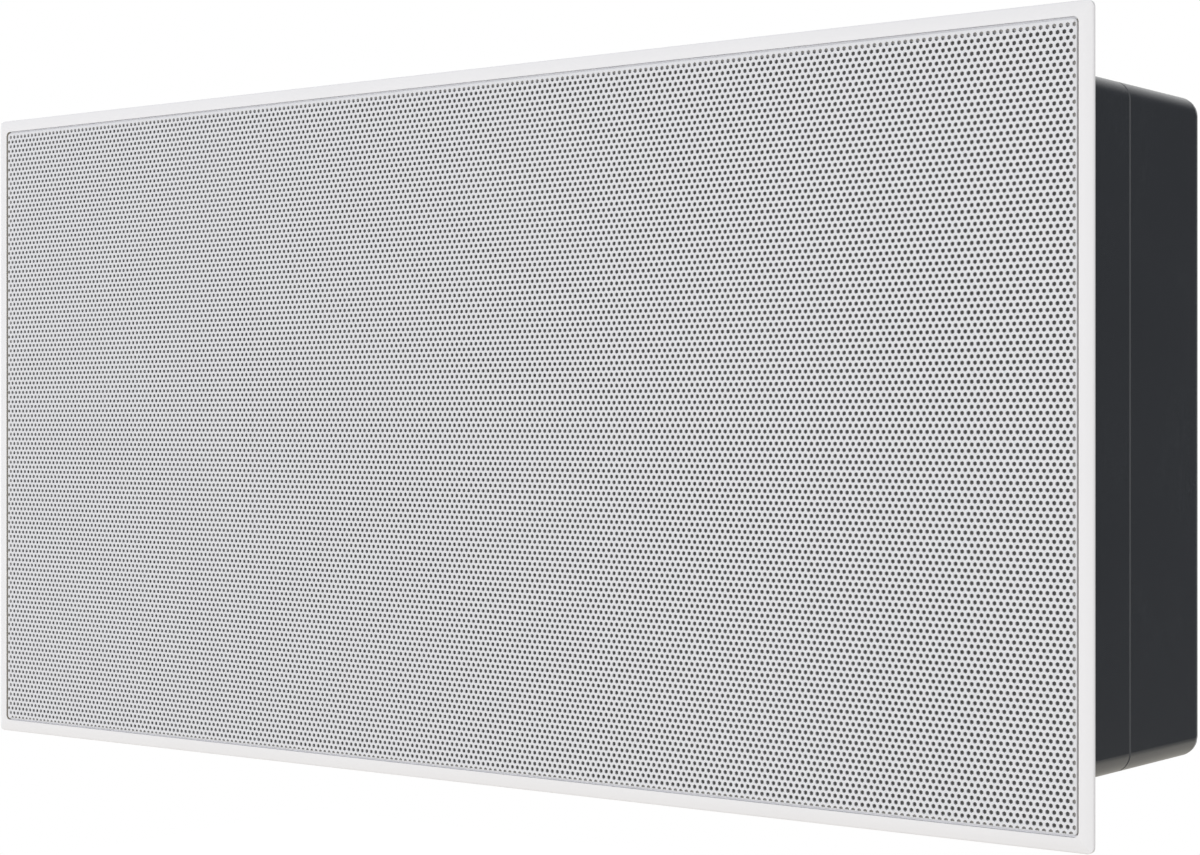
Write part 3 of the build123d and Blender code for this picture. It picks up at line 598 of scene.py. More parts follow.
def welded(points: np.ndarray, faces: Sequence[np.ndarray]) -> Solid:
    """Merges points that are the same when rounded, and renumbers the faces.

    Args:
        points: Places in metres.
        faces: Arrays of corner numbers.

    Returns:
        The merged points and the faces.
    """
    keys = np.round(points / ROUNDING).astype(np.int64)
    _, first, back = np.unique(keys, axis=0, return_index=True, return_inverse=True)
    return points[first], [back.ravel()[f] for f in faces]


def lone_edges(faces: Sequence[np.ndarray], count: int) -> np.ndarray:
    """Edges that only one face has, as that face's corner numbers out of a count of points."""
    edges = np.concatenate([np.stack([f, np.roll(f, -1, axis=1)], -1).reshape(-1, 2) for f in faces])
    return edges[~np.isin(edges @ [count, 1], edges @ [1, count])]


def mesh_rows(mesh: bpy.types.Mesh) -> Surface:
    """Reads a mesh as whole arrays.

    Args:
        mesh: The mesh to read.

    Returns:
        Points in metres and triangles.
    """
    mesh.calc_loop_triangles()
    triangles = np.empty(len(mesh.loop_triangles) * 3, dtype=np.int32)
    mesh.loop_triangles.foreach_get("vertices", triangles)
    points = np.empty(len(mesh.vertices) * 3, dtype=np.float32)
    mesh.vertices.foreach_get("co", points)
    return points.reshape(-1, 3).astype(float), triangles.reshape(-1, 3)


def grid_faces(rows: int, columns: int, wrap_rows: bool = False, wrap_columns: bool = False) -> np.ndarray:
    """Quads of a grid whose point (i, j) has number i * columns + j.

    Args:
        rows: Points along the first parameter.
        columns: Points along the second parameter.
        wrap_rows: Joins the last row to the first.
        wrap_columns: Joins the last column to the first.

    Returns:
        One row of four corner numbers a quad.
    """
    i = np.arange(rows if wrap_rows else rows - 1)[:, None]
    j = np.arange(columns if wrap_columns else columns - 1)[None, :]
    here, below, right = i * columns, (i + 1) % rows * columns, (j + 1) % columns
    return np.stack([here + j, below + j, below + right, here + right], -1).reshape(-1, 4)


def tube_faces(rows: int, columns: int) -> list[np.ndarray]:
    """Quads between rings of so many columns, and a lid on the first ring and on the last."""
    lid = np.arange(columns)[None, :]
    return [grid_faces(rows, columns, False, True), lid, lid[:, ::-1] + (rows - 1) * columns]


def turned(profile: np.ndarray, x: float, z: float, segments: int) -> Surface:
    """Carries a closed profile round a line along Y.

    Point (i, j) lies at angle 2 pi j / segments about (x, z), at the radius and depth of profile point i.

    Args:
        profile: Radius and depth in millimetres, one row a point.
        x: Place of the line across, in millimetres.
        z: Place of the line upwards, in millimetres.
        segments: Points round the line.

    Returns:
        Points in metres and quads.
    """
    angle = np.linspace(0, 2 * np.pi, segments, endpoint=False)
    radius, depth = profile[:, :1], profile[:, 1:]
    points = np.stack([x + radius * np.cos(angle), depth + 0 * angle, z + radius * np.sin(angle)], -1)
    return points.reshape(-1, 3) * MM, grid_faces(len(profile), segments, True, True)


def outward(thing: bpy.types.Object) -> None:
    """Turns a closed mesh's faces outwards: flips them where the sum of a · (b × c) over triangles is negative.

    Args:
        thing: The object to mend.
    """
    points, triangles = mesh_rows(thing.data)
    a, b, c = points[triangles].transpose(1, 0, 2)
    if np.einsum("ij,ij->i", a, np.cross(b, c)).sum() < 0:
        thing.data.flip_normals()


def smooth_step(share: np.ndarray) -> np.ndarray:
    """Eases a share from 0 to 1: 3 s^2 - 2 s^3, held at both ends."""
    held = np.clip(share, 0, 1)
    return held * held * (3 - 2 * held)


def arc(centre: Pair, radius: float, start: float, end: float, count: int) -> np.ndarray:
    """Points on a circle's arc between two angles in degrees."""
    angle = np.radians(np.linspace(start, end, count))
    return np.stack([centre[0] + radius * np.cos(angle), centre[1] + radius * np.sin(angle)], -1)


@dataclass
class PerforatedGrille(Assembly):
    """Steel grille: a sheet with staggered holes, its turned rim and the scrim cloth behind it."""

    half_width: float = 219.3
    half_height: float = 109.3
    corner_radius: float = 1.2
    least_radius: float = 0.15
    edge_round: float = 0.4
    front: float = -2.15
    sheet_back: float = -1.65
    rim_back: float = -1.1
    rim: float = 1.5
    rim_bevels: Pair = (0.12, 0.1)
    pitch: float = 2.0
    hole_diameter: float = 1.25
    hole_shift: Pair = (0.5, 0.3)
    cut_share: float = 0.35
    least_area: float = 1e-3
    seam: float = 0.01
    tiles: int = 6
    map_margin: float = 0.01
    scrim_inset: float = 1.8
    scrim_depth: float = -1.53
    ripple: float = 0.05
    ripple_lengths: Pair = (23.0, 17.0)

    def held_inside(self, points: np.ndarray) -> np.ndarray:
        """Moves points that lie outside the sheet's flat part to the nearest place on its rounded outline.

        A point's core is the nearest point of the rectangle between the corners' centres; from there it may
        lie one radius away at most.

        Args:
            points: Places across and upwards, in millimetres.

        Returns:
            The held points.
        """
        radius = self.corner_radius - self.edge_round
        core = np.array([self.half_width, self.half_height]) - self.corner_radius
        near = np.clip(points, -core, core)
        away = points - near
        far = np.linalg.norm(away, axis=-1, keepdims=True)
        return near + away * np.minimum(1.0, radius / np.maximum(far, NEVER_ZERO))

    def centres(self) -> np.ndarray:
        """Hole centres: rows half a pitch out of step, root three halves of a pitch apart.

        Returns:
            Places across and upwards, in millimetres.
        """
        rise = self.pitch * math.sqrt(3) / 2
        tall, wide = math.ceil(self.half_height / rise) + 1, math.ceil(self.half_width / self.pitch) + 1
        rows, columns = np.arange(-tall, tall + 1)[:, None], np.arange(-wide, wide + 1)[None, :]
        x = columns * self.pitch + rows % 2 * self.pitch / 2
        return np.stack([x, rows * rise + 0 * x], -1).reshape(-1, 2) + self.hole_shift

    def sheet_tile(self, centres: np.ndarray) -> Solid:
        """Closed piece of sheet: hexagon cells round hole centres, pierced where most of the hole lies inside.

        A cell's corner k lies at 60 k + 30 degrees, pitch / root 3 from its centre, and the hole's corner k
        on the same ray, on a hexagon with the round hole's area. The back is the front moved, and a wall
        stands on each edge that only one face of the front has.

        Args:
            centres: Hole centres in millimetres.

        Returns:
            Points in metres and faces.
        """
        angle = np.radians(60 * np.arange(6) + 30)
        ray = np.stack([np.cos(angle), np.sin(angle)], -1)
        hole_radius = self.hole_diameter / 2 * math.sqrt(2 * math.pi / (3 * math.sqrt(3)))
        wanted = [centres[:, None] + ray * radius for radius in (self.pitch / math.sqrt(3), hole_radius)]
        cells, holes = [self.held_inside(corners) for corners in wanted]
        kept = (np.abs(cells - wanted[0]).max(axis=-1) < ROUNDING).any(axis=1)
        cut = np.linalg.norm(holes.mean(axis=1) - centres, axis=-1)
        pierced = kept & (cut < self.cut_share * hole_radius)
        places = np.insert(np.stack([cells, holes], 1).reshape(-1, 2), 1, self.front, axis=1) * MM
        number = np.arange(len(places)).reshape(-1, 2, 6)
        after = np.roll(number, -1, axis=2)
        ring = np.stack([number[:, 0], after[:, 0], after[:, 1], number[:, 1]], -1)[pierced].reshape(-1, 4)
        places, (ring, lids) = welded(places, [ring, number[kept & ~pierced, 0]])
        starts, ends = ring[:, 0] == ring[:, 3], ring[:, 1] == ring[:, 2]
        front = [ring[~starts & ~ends], ring[starts][:, :3], ring[ends][:, [0, 1, 3]], lids]
        front = [self.with_area(places, faces) for faces in front]
        used = np.unique(np.concatenate([faces.ravel() for faces in front]))
        front = [np.searchsorted(used, faces) for faces in front]
        count = len(used)
        lone = lone_edges(front, count)
        walls = np.concatenate([lone[:, ::-1], lone + count], axis=1)
        behind = places[used] + [0.0, (self.sheet_back - self.front) * MM, 0.0]
        return np.concatenate([places[used], behind]), [*front, *[f[:, ::-1] + count for f in front], walls]

    def with_area(self, points: np.ndarray, faces: np.ndarray) -> np.ndarray:
        """Keeps the faces that have an area: half the sum of the cross products of their fan's sides.

        Args:
            points: Places in metres.
            faces: Arrays of corner numbers.

        Returns:
            The kept faces.
        """
        start = points[faces[:, :1]]
        arms = points[faces[:, 1:]] - start
        area = np.linalg.norm(np.cross(arms[:, :-1], arms[:, 1:]).sum(axis=1), axis=-1) / 2
        return faces[area > self.least_area * MM * MM]

    def outline(self, inset: float, steps: int = 9) -> np.ndarray:
        """Points along the grille's outline, at an inset, with rounded corners.

        Args:
            inset: Distance in from the grille's edge.
            steps: Points to a corner.

        Returns:
            Places across and upwards.
        """
        radius = max(self.corner_radius - inset, self.least_radius)
        x, z = self.half_width - inset - radius, self.half_height - inset - radius
        corners = [((x, z), 0), ((-x, z), 90), ((-x, -z), 180), ((x, -z), 270)]
        return np.concatenate([arc(c, radius, start, start + 90, steps) for c, start in corners])

    def rim_surface(self) -> Surface:
        """Carries the rim's closed profile along the outline: rolled edge, side, back, inner wall and seat.

        Returns:
            Points in metres and quads.
        """
        outer, inner = self.rim_bevels
        seat = self.sheet_back + self.seam
        profile = np.concatenate([
            arc((self.edge_round, self.front + self.edge_round), self.edge_round, 270, 180, 6),
            [(0.0, self.rim_back - outer), (outer, self.rim_back)],
            [(self.rim - inner, self.rim_back), (self.rim, self.rim_back - inner)],
            [(self.rim, seat), (self.edge_round - self.seam, seat)],
        ])
        x, z = np.stack([self.outline(inset) for inset in profile[:, 0]]).transpose(2, 0, 1)
        points = np.stack([x, profile[:, 1:] + 0 * x, z], -1)
        return points.reshape(-1, 3) * MM, grid_faces(*x.shape, True, True)

    def flat_map(self, mesh: bpy.types.Mesh) -> None:
        """Gives a piece a map for baking, straight from its place across and upwards.

        Args:
            mesh: The piece's mesh.
        """
        corners = np.empty(len(mesh.loops), dtype=np.int32)
        mesh.loops.foreach_get("vertex_index", corners)
        flat = mesh_rows(mesh)[0][:, [0, 2]]
        share = (flat - flat.min(axis=0)) / np.ptp(flat, axis=0) * (1 - 2 * self.map_margin) + self.map_margin
        layer = mesh.uv_layers.new(name="OFBake")
        layer.data.foreach_set("uv", share[corners].astype(np.float32).ravel())

    def scrim_surface(self, columns: int = 89, rows: int = 45) -> Surface:
        """Cloth behind the sheet: a grid with a shallow ripple, a sine across times a sine upwards.

        Args:
            columns: Points across.
            rows: Points upwards.

        Returns:
            Points in metres and quads.
        """
        x = np.linspace(-1, 1, columns)[None, :] * (self.half_width - self.scrim_inset)
        z = np.linspace(-1, 1, rows)[:, None] * (self.half_height - self.scrim_inset)
        ripple = self.ripple * np.sin(x / self.ripple_lengths[0]) * np.sin(z / self.ripple_lengths[1])
        points = np.stack(np.broadcast_arrays(x, self.scrim_depth + ripple, z), -1)
        return points.reshape(-1, 3) * MM, grid_faces(rows, columns)

    def build(self) -> None:
        """Makes and dresses every piece of the grille; the rim's seat behind the holes is a darker grey."""
        points, quads = self.rim_surface()
        rim = mesh_object("grille_rim", points, [quads])
        outward(rim)
        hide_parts("grille")
        pieces = [rim]
        around, seat_rows = len(self.outline(0.0)), 2
        seat = np.arange(len(quads)) >= len(quads) - seat_rows * around
        centres = self.centres()
        reach = self.half_width + self.pitch
        bounds = np.linspace(-reach, reach, self.tiles + 1)
        for i in range(self.tiles):
            mine = centres[(centres[:, 0] >= bounds[i]) & (centres[:, 0] < bounds[i + 1])]
            points, faces = self.sheet_tile(mine)
            pieces.append(mesh_object(f"grille_sheet_{i + 1}", points, faces, 30.0))
            self.flat_map(pieces[-1].data)
        for piece in pieces:
            self.finishes.dress(piece, "grille_white")
            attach(piece, "grille")
        # the rim's seat rows behind the outermost holes take the darker grey
        rim.data.materials.append(self.finishes.made["rim_seat_grey"])
        rim.data.polygons.foreach_set("material_index", seat.astype(np.int32))
        points, quads = self.scrim_surface()
        scrim = mesh_object("grille_scrim_cloth", points, [quads])
        self.finishes.dress(scrim, "scrim_black")
        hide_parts("grille_scrim")
        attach(scrim, "grille")


@dataclass
class PanScrews(Assembly):
    """A set of pan-head screws with a cross recess, in place of a node's plain ones."""

    node: str
    finish: str
    places: Sequence[Pair]
    seat: float
    facing: Direction
    length: float
    shaft_radius: float = 1.5
    head_radius: float = 2.9
    head_height: float = 2.0
    recess_width: float = 0.9
    recess_length: float = 3.4
    recess_depth: float = 1.2
    recess_floor: float = 0.7
    recess_bevel: Pair = (1.04, 0.1)
    crown: Sequence[Pair] = ((0.72, 0.97), (0.9, 0.82), (1.0, 0.5), (1.0, 0.0))
    tip_radius: float = 0.3
    tip_length: float = 1.5
    turn_degrees: float = 37.0

    def recess(self, angle: np.ndarray) -> np.ndarray:
        """Radius of the cross recess at an angle: the arm's end, or its side past the arm's corner.

        Args:
            angle: Angles round the head.

        Returns:
            The radii in millimetres.
        """
        half, reach = self.recess_width / 2, self.recess_length / 2
        low, high = np.sort(np.abs([np.cos(angle), np.sin(angle)]), axis=0)
        return np.minimum(reach / high, half / np.maximum(low, NEVER_ZERO))

    def angles(self) -> np.ndarray:
        """Angles round the head, with every corner of the cross among them.

        Returns:
            The angles in radians.
        """
        corner, middle = math.atan2(self.recess_width, self.recess_length), math.pi / 4
        between = (corner + middle) / 2
        quarter = np.array([-corner, 0.0, corner, between, middle, 2 * middle - between])
        return (quarter + np.arange(4)[:, None] * math.pi / 2).ravel()

    def one(self) -> Solid:
        """One screw about the depth axis: rings from the recess's floor over the head to the tip.

        Ring i has its own radius, or the recess's radius at each angle, and a height above the seat.

        Returns:
            Points in millimetres, with the height as depth, and faces.
        """
        angle = self.angles()
        cross, top = self.recess(angle), self.head_height
        wider, lower = self.recess_bevel
        head = [(self.head_radius * across, top * up) for across, up in self.crown]
        shaft = [(self.shaft_radius, 0.0), (self.shaft_radius, self.tip_length - self.length)]
        rings = [
            (cross * self.recess_floor, top - self.recess_depth),
            (cross, top - lower),
            (cross * wider, top),
            *[(np.full_like(angle, r), h) for r, h in [*head, *shaft, (self.tip_radius, -self.length)]],
        ]
        radius = np.stack([r for r, _ in rings])
        height = np.array([h for _, h in rings])[:, None] + 0 * radius
        points = np.stack([radius * np.cos(angle), height, radius * np.sin(angle)], -1).reshape(-1, 3)
        return points, tube_faces(len(rings), len(angle))

    def build(self) -> None:
        """Makes the whole set as one piece."""
        points, faces = self.one()
        turn = np.radians(self.turn_degrees * np.arange(len(self.places)))
        cosine, sine = np.cos(turn)[:, None], np.sin(turn)[:, None]
        spot = np.array(self.places)
        x = spot[:, :1] + points[:, 0] * cosine - points[:, 2] * sine
        z = spot[:, 1:] + points[:, 0] * sine + points[:, 2] * cosine
        y = self.seat + self.facing.value * points[:, 1] + 0 * x
        shift = np.arange(len(spot))[:, None, None] * len(points)
        made = mesh_object(
            f"{self.node}_turned",
            np.stack([x, y, z], -1).reshape(-1, 3) * MM,
            [(f[None] + shift).reshape(-1, f.shape[1]) for f in faces],
            35.0,
        )
        outward(made)
        self.finishes.dress(made, self.finish)
        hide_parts(self.node)
        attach(made, "enclosure")


@dataclass
class Woofer(Assembly):
    """One woofer: the rubber roll and the spider between the frame and the cone."""

    side: str
    lip_radius: float = 64.0
    cone_radius: float = 44.6
    cone_edge: float = 40.0
    roll_radius: float = 6.0
    surround_thickness: float = 0.9
    surround_seat: float = 11.0
    neck: float = 13.35
    spider_seat: float = 33.997
    spider_thickness: float = 0.6
    spider_outside: float = 43.5
    wave_start: float = 15.95
    wave_end: float = 37.2
    wave_height: float = 1.0
    wave_count: int = 6
    wave_points: int = 6
    roll_points: int = 19
    segments: int = 120

    @property
    def x(self) -> float:
        """Place of the woofer's axis across."""
        return SIDES[self.side] * WOOFER_X

    def roll_profile(self) -> np.ndarray:
        """Closed section of the surround: lip, half roll and glue edge, then back along the inner roll.

        Returns:
            Radius and depth in millimetres.
        """
        middle = self.cone_radius + self.roll_radius
        outer = self.roll_radius + self.surround_thickness / 2
        inner = self.roll_radius - self.surround_thickness / 2
        lift = math.degrees(math.asin(self.surround_thickness / outer))
        front, seat = self.surround_seat - self.surround_thickness, self.surround_seat
        return np.concatenate([
            [(self.lip_radius, seat), (self.lip_radius, front)],
            arc((middle, seat), outer, -lift, lift - 180, self.roll_points),
            [(self.cone_edge, front), (self.cone_edge, seat)],
            arc((middle, seat), inner, -180, 0, self.roll_points),
        ])

    def spider_profile(self) -> np.ndarray:
        """Closed section of the spider: depth swings as a sine between the flat inner and outer bands.

        Returns:
            Radius and depth in millimetres.
        """
        radius = np.concatenate([
            [self.neck],
            np.linspace(self.wave_start, self.wave_end, self.wave_count * self.wave_points + 1),
            [self.spider_outside],
        ])
        share = np.clip((radius - self.wave_start) / (self.wave_end - self.wave_start), 0, 1)
        wave = -self.wave_height * np.sin(np.pi * self.wave_count * share)
        back = np.stack([radius, self.spider_seat + wave], -1)
        front = back - [0.0, self.spider_thickness]
        return np.concatenate([front, back[::-1]])

    def bend(self, thing: bpy.types.Object, fixed_radius: float, moving_radius: float) -> None:
        """Bakes the ring's place into its mesh and works out a weight eased by the distance from the axis; the
        weight is not used.

        Args:
            thing: The ring.
            fixed_radius: From here outwards the weight is 0.
            moving_radius: From here inwards the weight is 1.
        """
        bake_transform(thing)
        radius = np.linalg.norm(mesh_rows(thing.data)[0][:, [0, 2]] / MM - [self.x, 0.0], axis=1)
        weight = smooth_step((fixed_radius - radius) / (fixed_radius - moving_radius))

    def build(self) -> None:
        """Makes the two rings and dresses the woofer's nodes."""
        name = f"woofer_{self.side}"
        outer = self.cone_radius + 2 * self.roll_radius
        rings = [
            ("surround", self.roll_profile(), "surround_rubber", "black_rubber", outer, self.cone_radius),
            ("spider", self.spider_profile(), "spider_cloth", "cloth", self.wave_end, self.wave_start),
        ]
        for part, profile, finish, slot, fixed, moving in rings:
            points, quads = turned(profile, self.x, 0.0, self.segments)
            ring = mesh_object(f"{name}_{part}_ring", points, [quads], 50.0)
            outward(ring)
            self.finishes.dress(ring, finish)
            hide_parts(f"{name}_{part}")
            self.bend(ring, fixed, moving)
        self.finishes.dress_nodes({
            "basket": "basket_black", "cone": "cone_skin", "dust_cap": "cone_skin", "voice_coil": "copper_wire",
            "top_plate": "zinc_steel", "magnet": "ferrite", "yoke": "zinc_steel",
        }, f"{name}_")


@dataclass
class WallClamp(Assembly):
    """One wall clamp: a threaded screw, its brass bush and the swinging leg."""

    level: str
    side: str
    x: float = 150.0
    z: float = 92.0
    head_back: float = 4.0
    tip: float = 50.0
    major_radius: float = 1.98
    minor_radius: float = 1.55
    thread_pitch: float = 1.6
    flank: float = 1.4
    run_out: float = 2.0
    tip_share: float = 0.6
    cut_slack: float = 0.01
    segments: int = 24
    per_turn: int = 6

    def thread(self) -> Solid:
        """Thread as a grid of angle and depth, with a ridge that follows the phase depth / pitch - angle / turn.

        Returns:
            Points in metres and faces.
        """
        count = int((self.tip - self.head_back) / self.thread_pitch * self.per_turn)
        depth = np.linspace(self.head_back, self.tip, count)[:, None]
        angle = np.linspace(0, 2 * np.pi, self.segments, endpoint=False)[None, :]
        phase = (depth / self.thread_pitch - angle / (2 * np.pi)) % 1.0
        ridge = np.clip(self.flank * (1 - 2 * np.abs(phase - 0.5)), 0, 1)
        radius = self.minor_radius + (self.major_radius - self.minor_radius) * ridge
        taper = np.clip((self.tip - depth) / self.run_out * (1 - self.tip_share) + self.tip_share, 0, 1)
        radius = radius * taper
        x = SIDES[self.side] * self.x + radius * np.cos(angle)
        z = LEVELS[self.level] * self.z + radius * np.sin(angle)
        points = np.stack(np.broadcast_arrays(x, depth, z), -1).reshape(-1, 3) * MM
        return points, tube_faces(count, self.segments)

    def head(self, mesh: bpy.types.Mesh) -> Solid:
        """Head with its cross drive, from the screw's node: the triangles in front of the shaft, and a lid there.

        The lid's corners are those on edges that only one triangle has, in the order of their angle.

        Args:
            mesh: The node's mesh.

        Returns:
            Points in metres and faces.
        """
        places, triangles = mesh_rows(mesh)
        limit = (self.head_back + self.cut_slack) * MM
        kept = triangles[places[triangles][:, :, 1].max(axis=1) < limit]
        used, flat = np.unique(kept, return_inverse=True)
        points, (faces,) = welded(places[used], [flat.reshape(-1, 3)])
        rim = np.unique(lone_edges([faces], len(points)))
        across, upwards = (points[rim] - points[rim].mean(axis=0)).T[[0, 2]]
        lid = rim[np.argsort(-np.arctan2(upwards, across))]
        return points, [faces, lid[None, :]]

    def build(self) -> None:
        """Makes the screw and dresses the clamp's nodes."""
        name = f"clamp_{self.level}_{self.side}"
        head, head_faces = self.head(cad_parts[f"{name}_screw"].data)
        thread, faces = self.thread()
        screw = mesh_object(
            f"{name}_screw_thread", np.concatenate([head, thread]), head_faces + [f + len(head) for f in faces], 35.0
        )
        self.finishes.dress(screw, "zinc_steel")
        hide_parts(f"{name}_screw")
        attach(screw, f"{name}_screw")
        self.finishes.dress_nodes({"bush": "brass", "leg": "leg_black"}, f"{name}_")


@dataclass
class Crossover(Assembly):
    """Crossover board with wound coils, capacitors and resistors."""

    coil_x: float = 19.0
    coil_z: float = 44.0
    coil_front: float = 75.4
    coil_back: float = 89.4
    coil_radius: float = 15.0
    coil_hole: float = 6.0
    wire: float = 1.0
    bulge: float = 0.4
    ridge_points: int = 4
    segments: int = 36

    def ridges(self, start: Pair, end: Pair, way: Pair) -> np.ndarray:
        """Row of half-round wires from one point to another: a sine's size per wire, pushed out one way.

        Args:
            start: Radius and depth where the row starts.
            end: Radius and depth where it ends.
            way: Direction of the bulge.

        Returns:
            Radius and depth in millimetres.
        """
        run = math.dist(start, end)
        count = max(1, round(run / self.wire))
        share = np.linspace(0, 1, count * self.ridge_points + 1)[:-1, None]
        lift = np.abs(np.sin(np.pi * count * share)) * self.wire * self.bulge
        return np.array(start) + share * (np.array(end) - start) + lift * np.array(way)

    def coil_profile(self) -> np.ndarray:
        """Closed section of one air coil, ridged by its wire on all four sides.

        Returns:
            Radius and depth in millimetres.
        """
        edge = self.wire * self.bulge
        low, high = self.coil_hole + edge, self.coil_radius - edge
        front, back = self.coil_front + edge, self.coil_back - edge
        return np.concatenate([
            self.ridges((low, back), (high, back), (0, 1)),
            self.ridges((high, back), (high, front), (1, 0)),
            self.ridges((high, front), (low, front), (0, -1)),
            self.ridges((low, front), (low, back), (-1, 0)),
        ])

    def build(self) -> None:
        """Makes the coils and dresses the board's nodes."""
        profile = self.coil_profile()
        coils = [turned(profile, side * self.coil_x, self.coil_z, self.segments) for side in SIDES.values()]
        points = np.concatenate([coil[0] for coil in coils])
        made = mesh_object("crossover_coils", points, [coils[0][1], coils[1][1] + len(coils[0][0])], 70.0)
        outward(made)
        self.finishes.dress(made, "copper_wire")
        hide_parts("crossover_inductors")
        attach(made, "enclosure")
        self.finishes.dress_nodes(
            {"board": "board_green", "capacitors": "capacitor_sleeve", "resistors": "cement"}, "crossover_"
        )


@dataclass
class DampingPads(Assembly):
    """Wadding pads on the rear wall behind the woofers."""

    half_width: float = 55.0
    half_height: float = 75.0
    back: float = 99.0
    thickness: float = 10.0
    edge_power: int = 8
    crown_power: float = 0.35
    ripple: float = 0.07
    waves: Pair = (9.0, 11.0)
    wave_shift: float = 1.3
    pulls: Pair = (0.012, 0.01)

    def surface(self, x: float, columns: int = 45, rows: int = 61) -> Solid:
        """A pad round x: crowned front, (1 - u^8)(1 - v^8) to a low power with a ripple, and a flat back.

        Args:
            x: Place of the pad's middle across.
            columns: Points across.
            rows: Points upwards.

        Returns:
            Points in metres and faces.
        """
        u = np.linspace(-1, 1, columns)[None, :]
        v = np.linspace(-1, 1, rows)[:, None]
        crown = ((1 - u**self.edge_power) * (1 - v**self.edge_power)) ** self.crown_power
        waves = np.sin(self.waves[0] * u + self.wave_shift) * np.cos(self.waves[1] * v)
        ripple = 1 - self.ripple + self.ripple * waves
        across = x + u * self.half_width * (1 - self.pulls[0] * np.cos(np.pi * v / 2))
        up = v * self.half_height * (1 - self.pulls[1] * np.cos(np.pi * u / 2))
        front = self.back - self.thickness * crown * ripple
        sheets = [np.stack(np.broadcast_arrays(across, depth, up), -1) for depth in (front, self.back + 0 * front)]
        points = np.concatenate([s.reshape(-1, 3) for s in sheets]) * MM
        quads = grid_faces(rows, columns)
        return welded(points, [np.concatenate([quads, quads[:, ::-1] + rows * columns])])

    def build(self) -> None:
        """Makes both pads."""
        for name, side in SIDES.items():
            points, faces = self.surface(side * WOOFER_X)
            pad = mesh_object(f"damping_pad_{name}", points, faces, 60.0)
            outward(pad)
            self.finishes.dress(pad, "wadding")
            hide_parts("damping_pads")
            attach(pad, "enclosure")


@dataclass
class Cabinet(Assembly):
    """The trim frame, the two halves of the box and the fittings that keep their own shape."""

    boss_x: Pair = (200.5, 45.5)
    boss_z: float = 90.5
    boss_seat: float = 56.0
    woofer_bolt_radius: float = 69.0
    tweeter_bolt_radius: float = 38.5
    driver_seat: float = 10.0
    cup_screw_x: float = 38.5
    cup_screw_z: Pair = (-69.5, -20.5)
    cup_seat: float = 100.0
    board_screw_x: float = 37.0
    board_screw_z: Pair = (4.0, 60.0)
    board_seat: float = 89.4

    def ring(self, count: int, radius: float, x: float) -> list[Pair]:
        """Places spaced evenly on a circle, the first half a step round."""
        angle = 2 * np.pi * (np.arange(count) + 0.5) / count
        return list(zip(x + radius * np.cos(angle), radius * np.sin(angle)))

    def screws(self) -> list[PanScrews]:
        """Every set of screws.

        Returns:
            The sets, not yet built.
        """
        woofers = [p for s in SIDES.values() for p in self.ring(6, self.woofer_bolt_radius, s * WOOFER_X)]
        tweeter = self.ring(4, self.tweeter_bolt_radius, 0.0)
        bosses = [(s * x, t * self.boss_z) for x in self.boss_x for s in (-1, 1) for t in (-1, 1)]
        cup = [(s * self.cup_screw_x, z) for s in (-1, 1) for z in self.cup_screw_z]
        board = [(s * self.board_screw_x, z) for s in (-1, 1) for z in self.board_screw_z]
        rear, front = Direction.REAR, Direction.FRONT
        screws = partial(PanScrews, self.finishes)
        return [
            screws("woofer_screws", "black_screw", woofers, self.driver_seat, front, length=10.5),
            screws("tweeter_screws", "black_screw", tweeter, self.driver_seat, front, length=10.5),
            screws("terminal_screws", "black_screw", cup, self.cup_seat, rear, length=8.7),
            screws("crossover_screws", "zinc_steel", board, self.board_seat, front, length=7.8),
            screws(
                "cover_screws", "zinc_steel", bosses, self.boss_seat, rear, length=18.0, shaft_radius=2.0,
                head_radius=4.0, head_height=3.0, recess_width=1.2, recess_length=5.0, recess_depth=1.8,
            ),
        ]

    def build(self) -> None:
        """Makes the screws and dresses the nodes."""
        for screws in self.screws():
            screws.build()
        self.finishes.dress_nodes({
            "trim_flange": "trim_white", "front_chassis": "box_black", "rear_cover": "box_black",
            "seam_gasket": "seal_rubber", "grille_magnets": "nickel", "tweeter_faceplate": "faceplate_black",
            "tweeter_dome": "dome_cloth", "tweeter_coil": "copper_wire", "tweeter_plate": "zinc_steel",
            "tweeter_magnet": "ferrite", "tweeter_yoke": "zinc_steel", "tweeter_chamber": "faceplate_black",
            "terminal_cup": "faceplate_black", "terminal_button_red": "button_red",
            "terminal_button_black": "button_black", "terminal_contacts": "zinc_steel",
        })


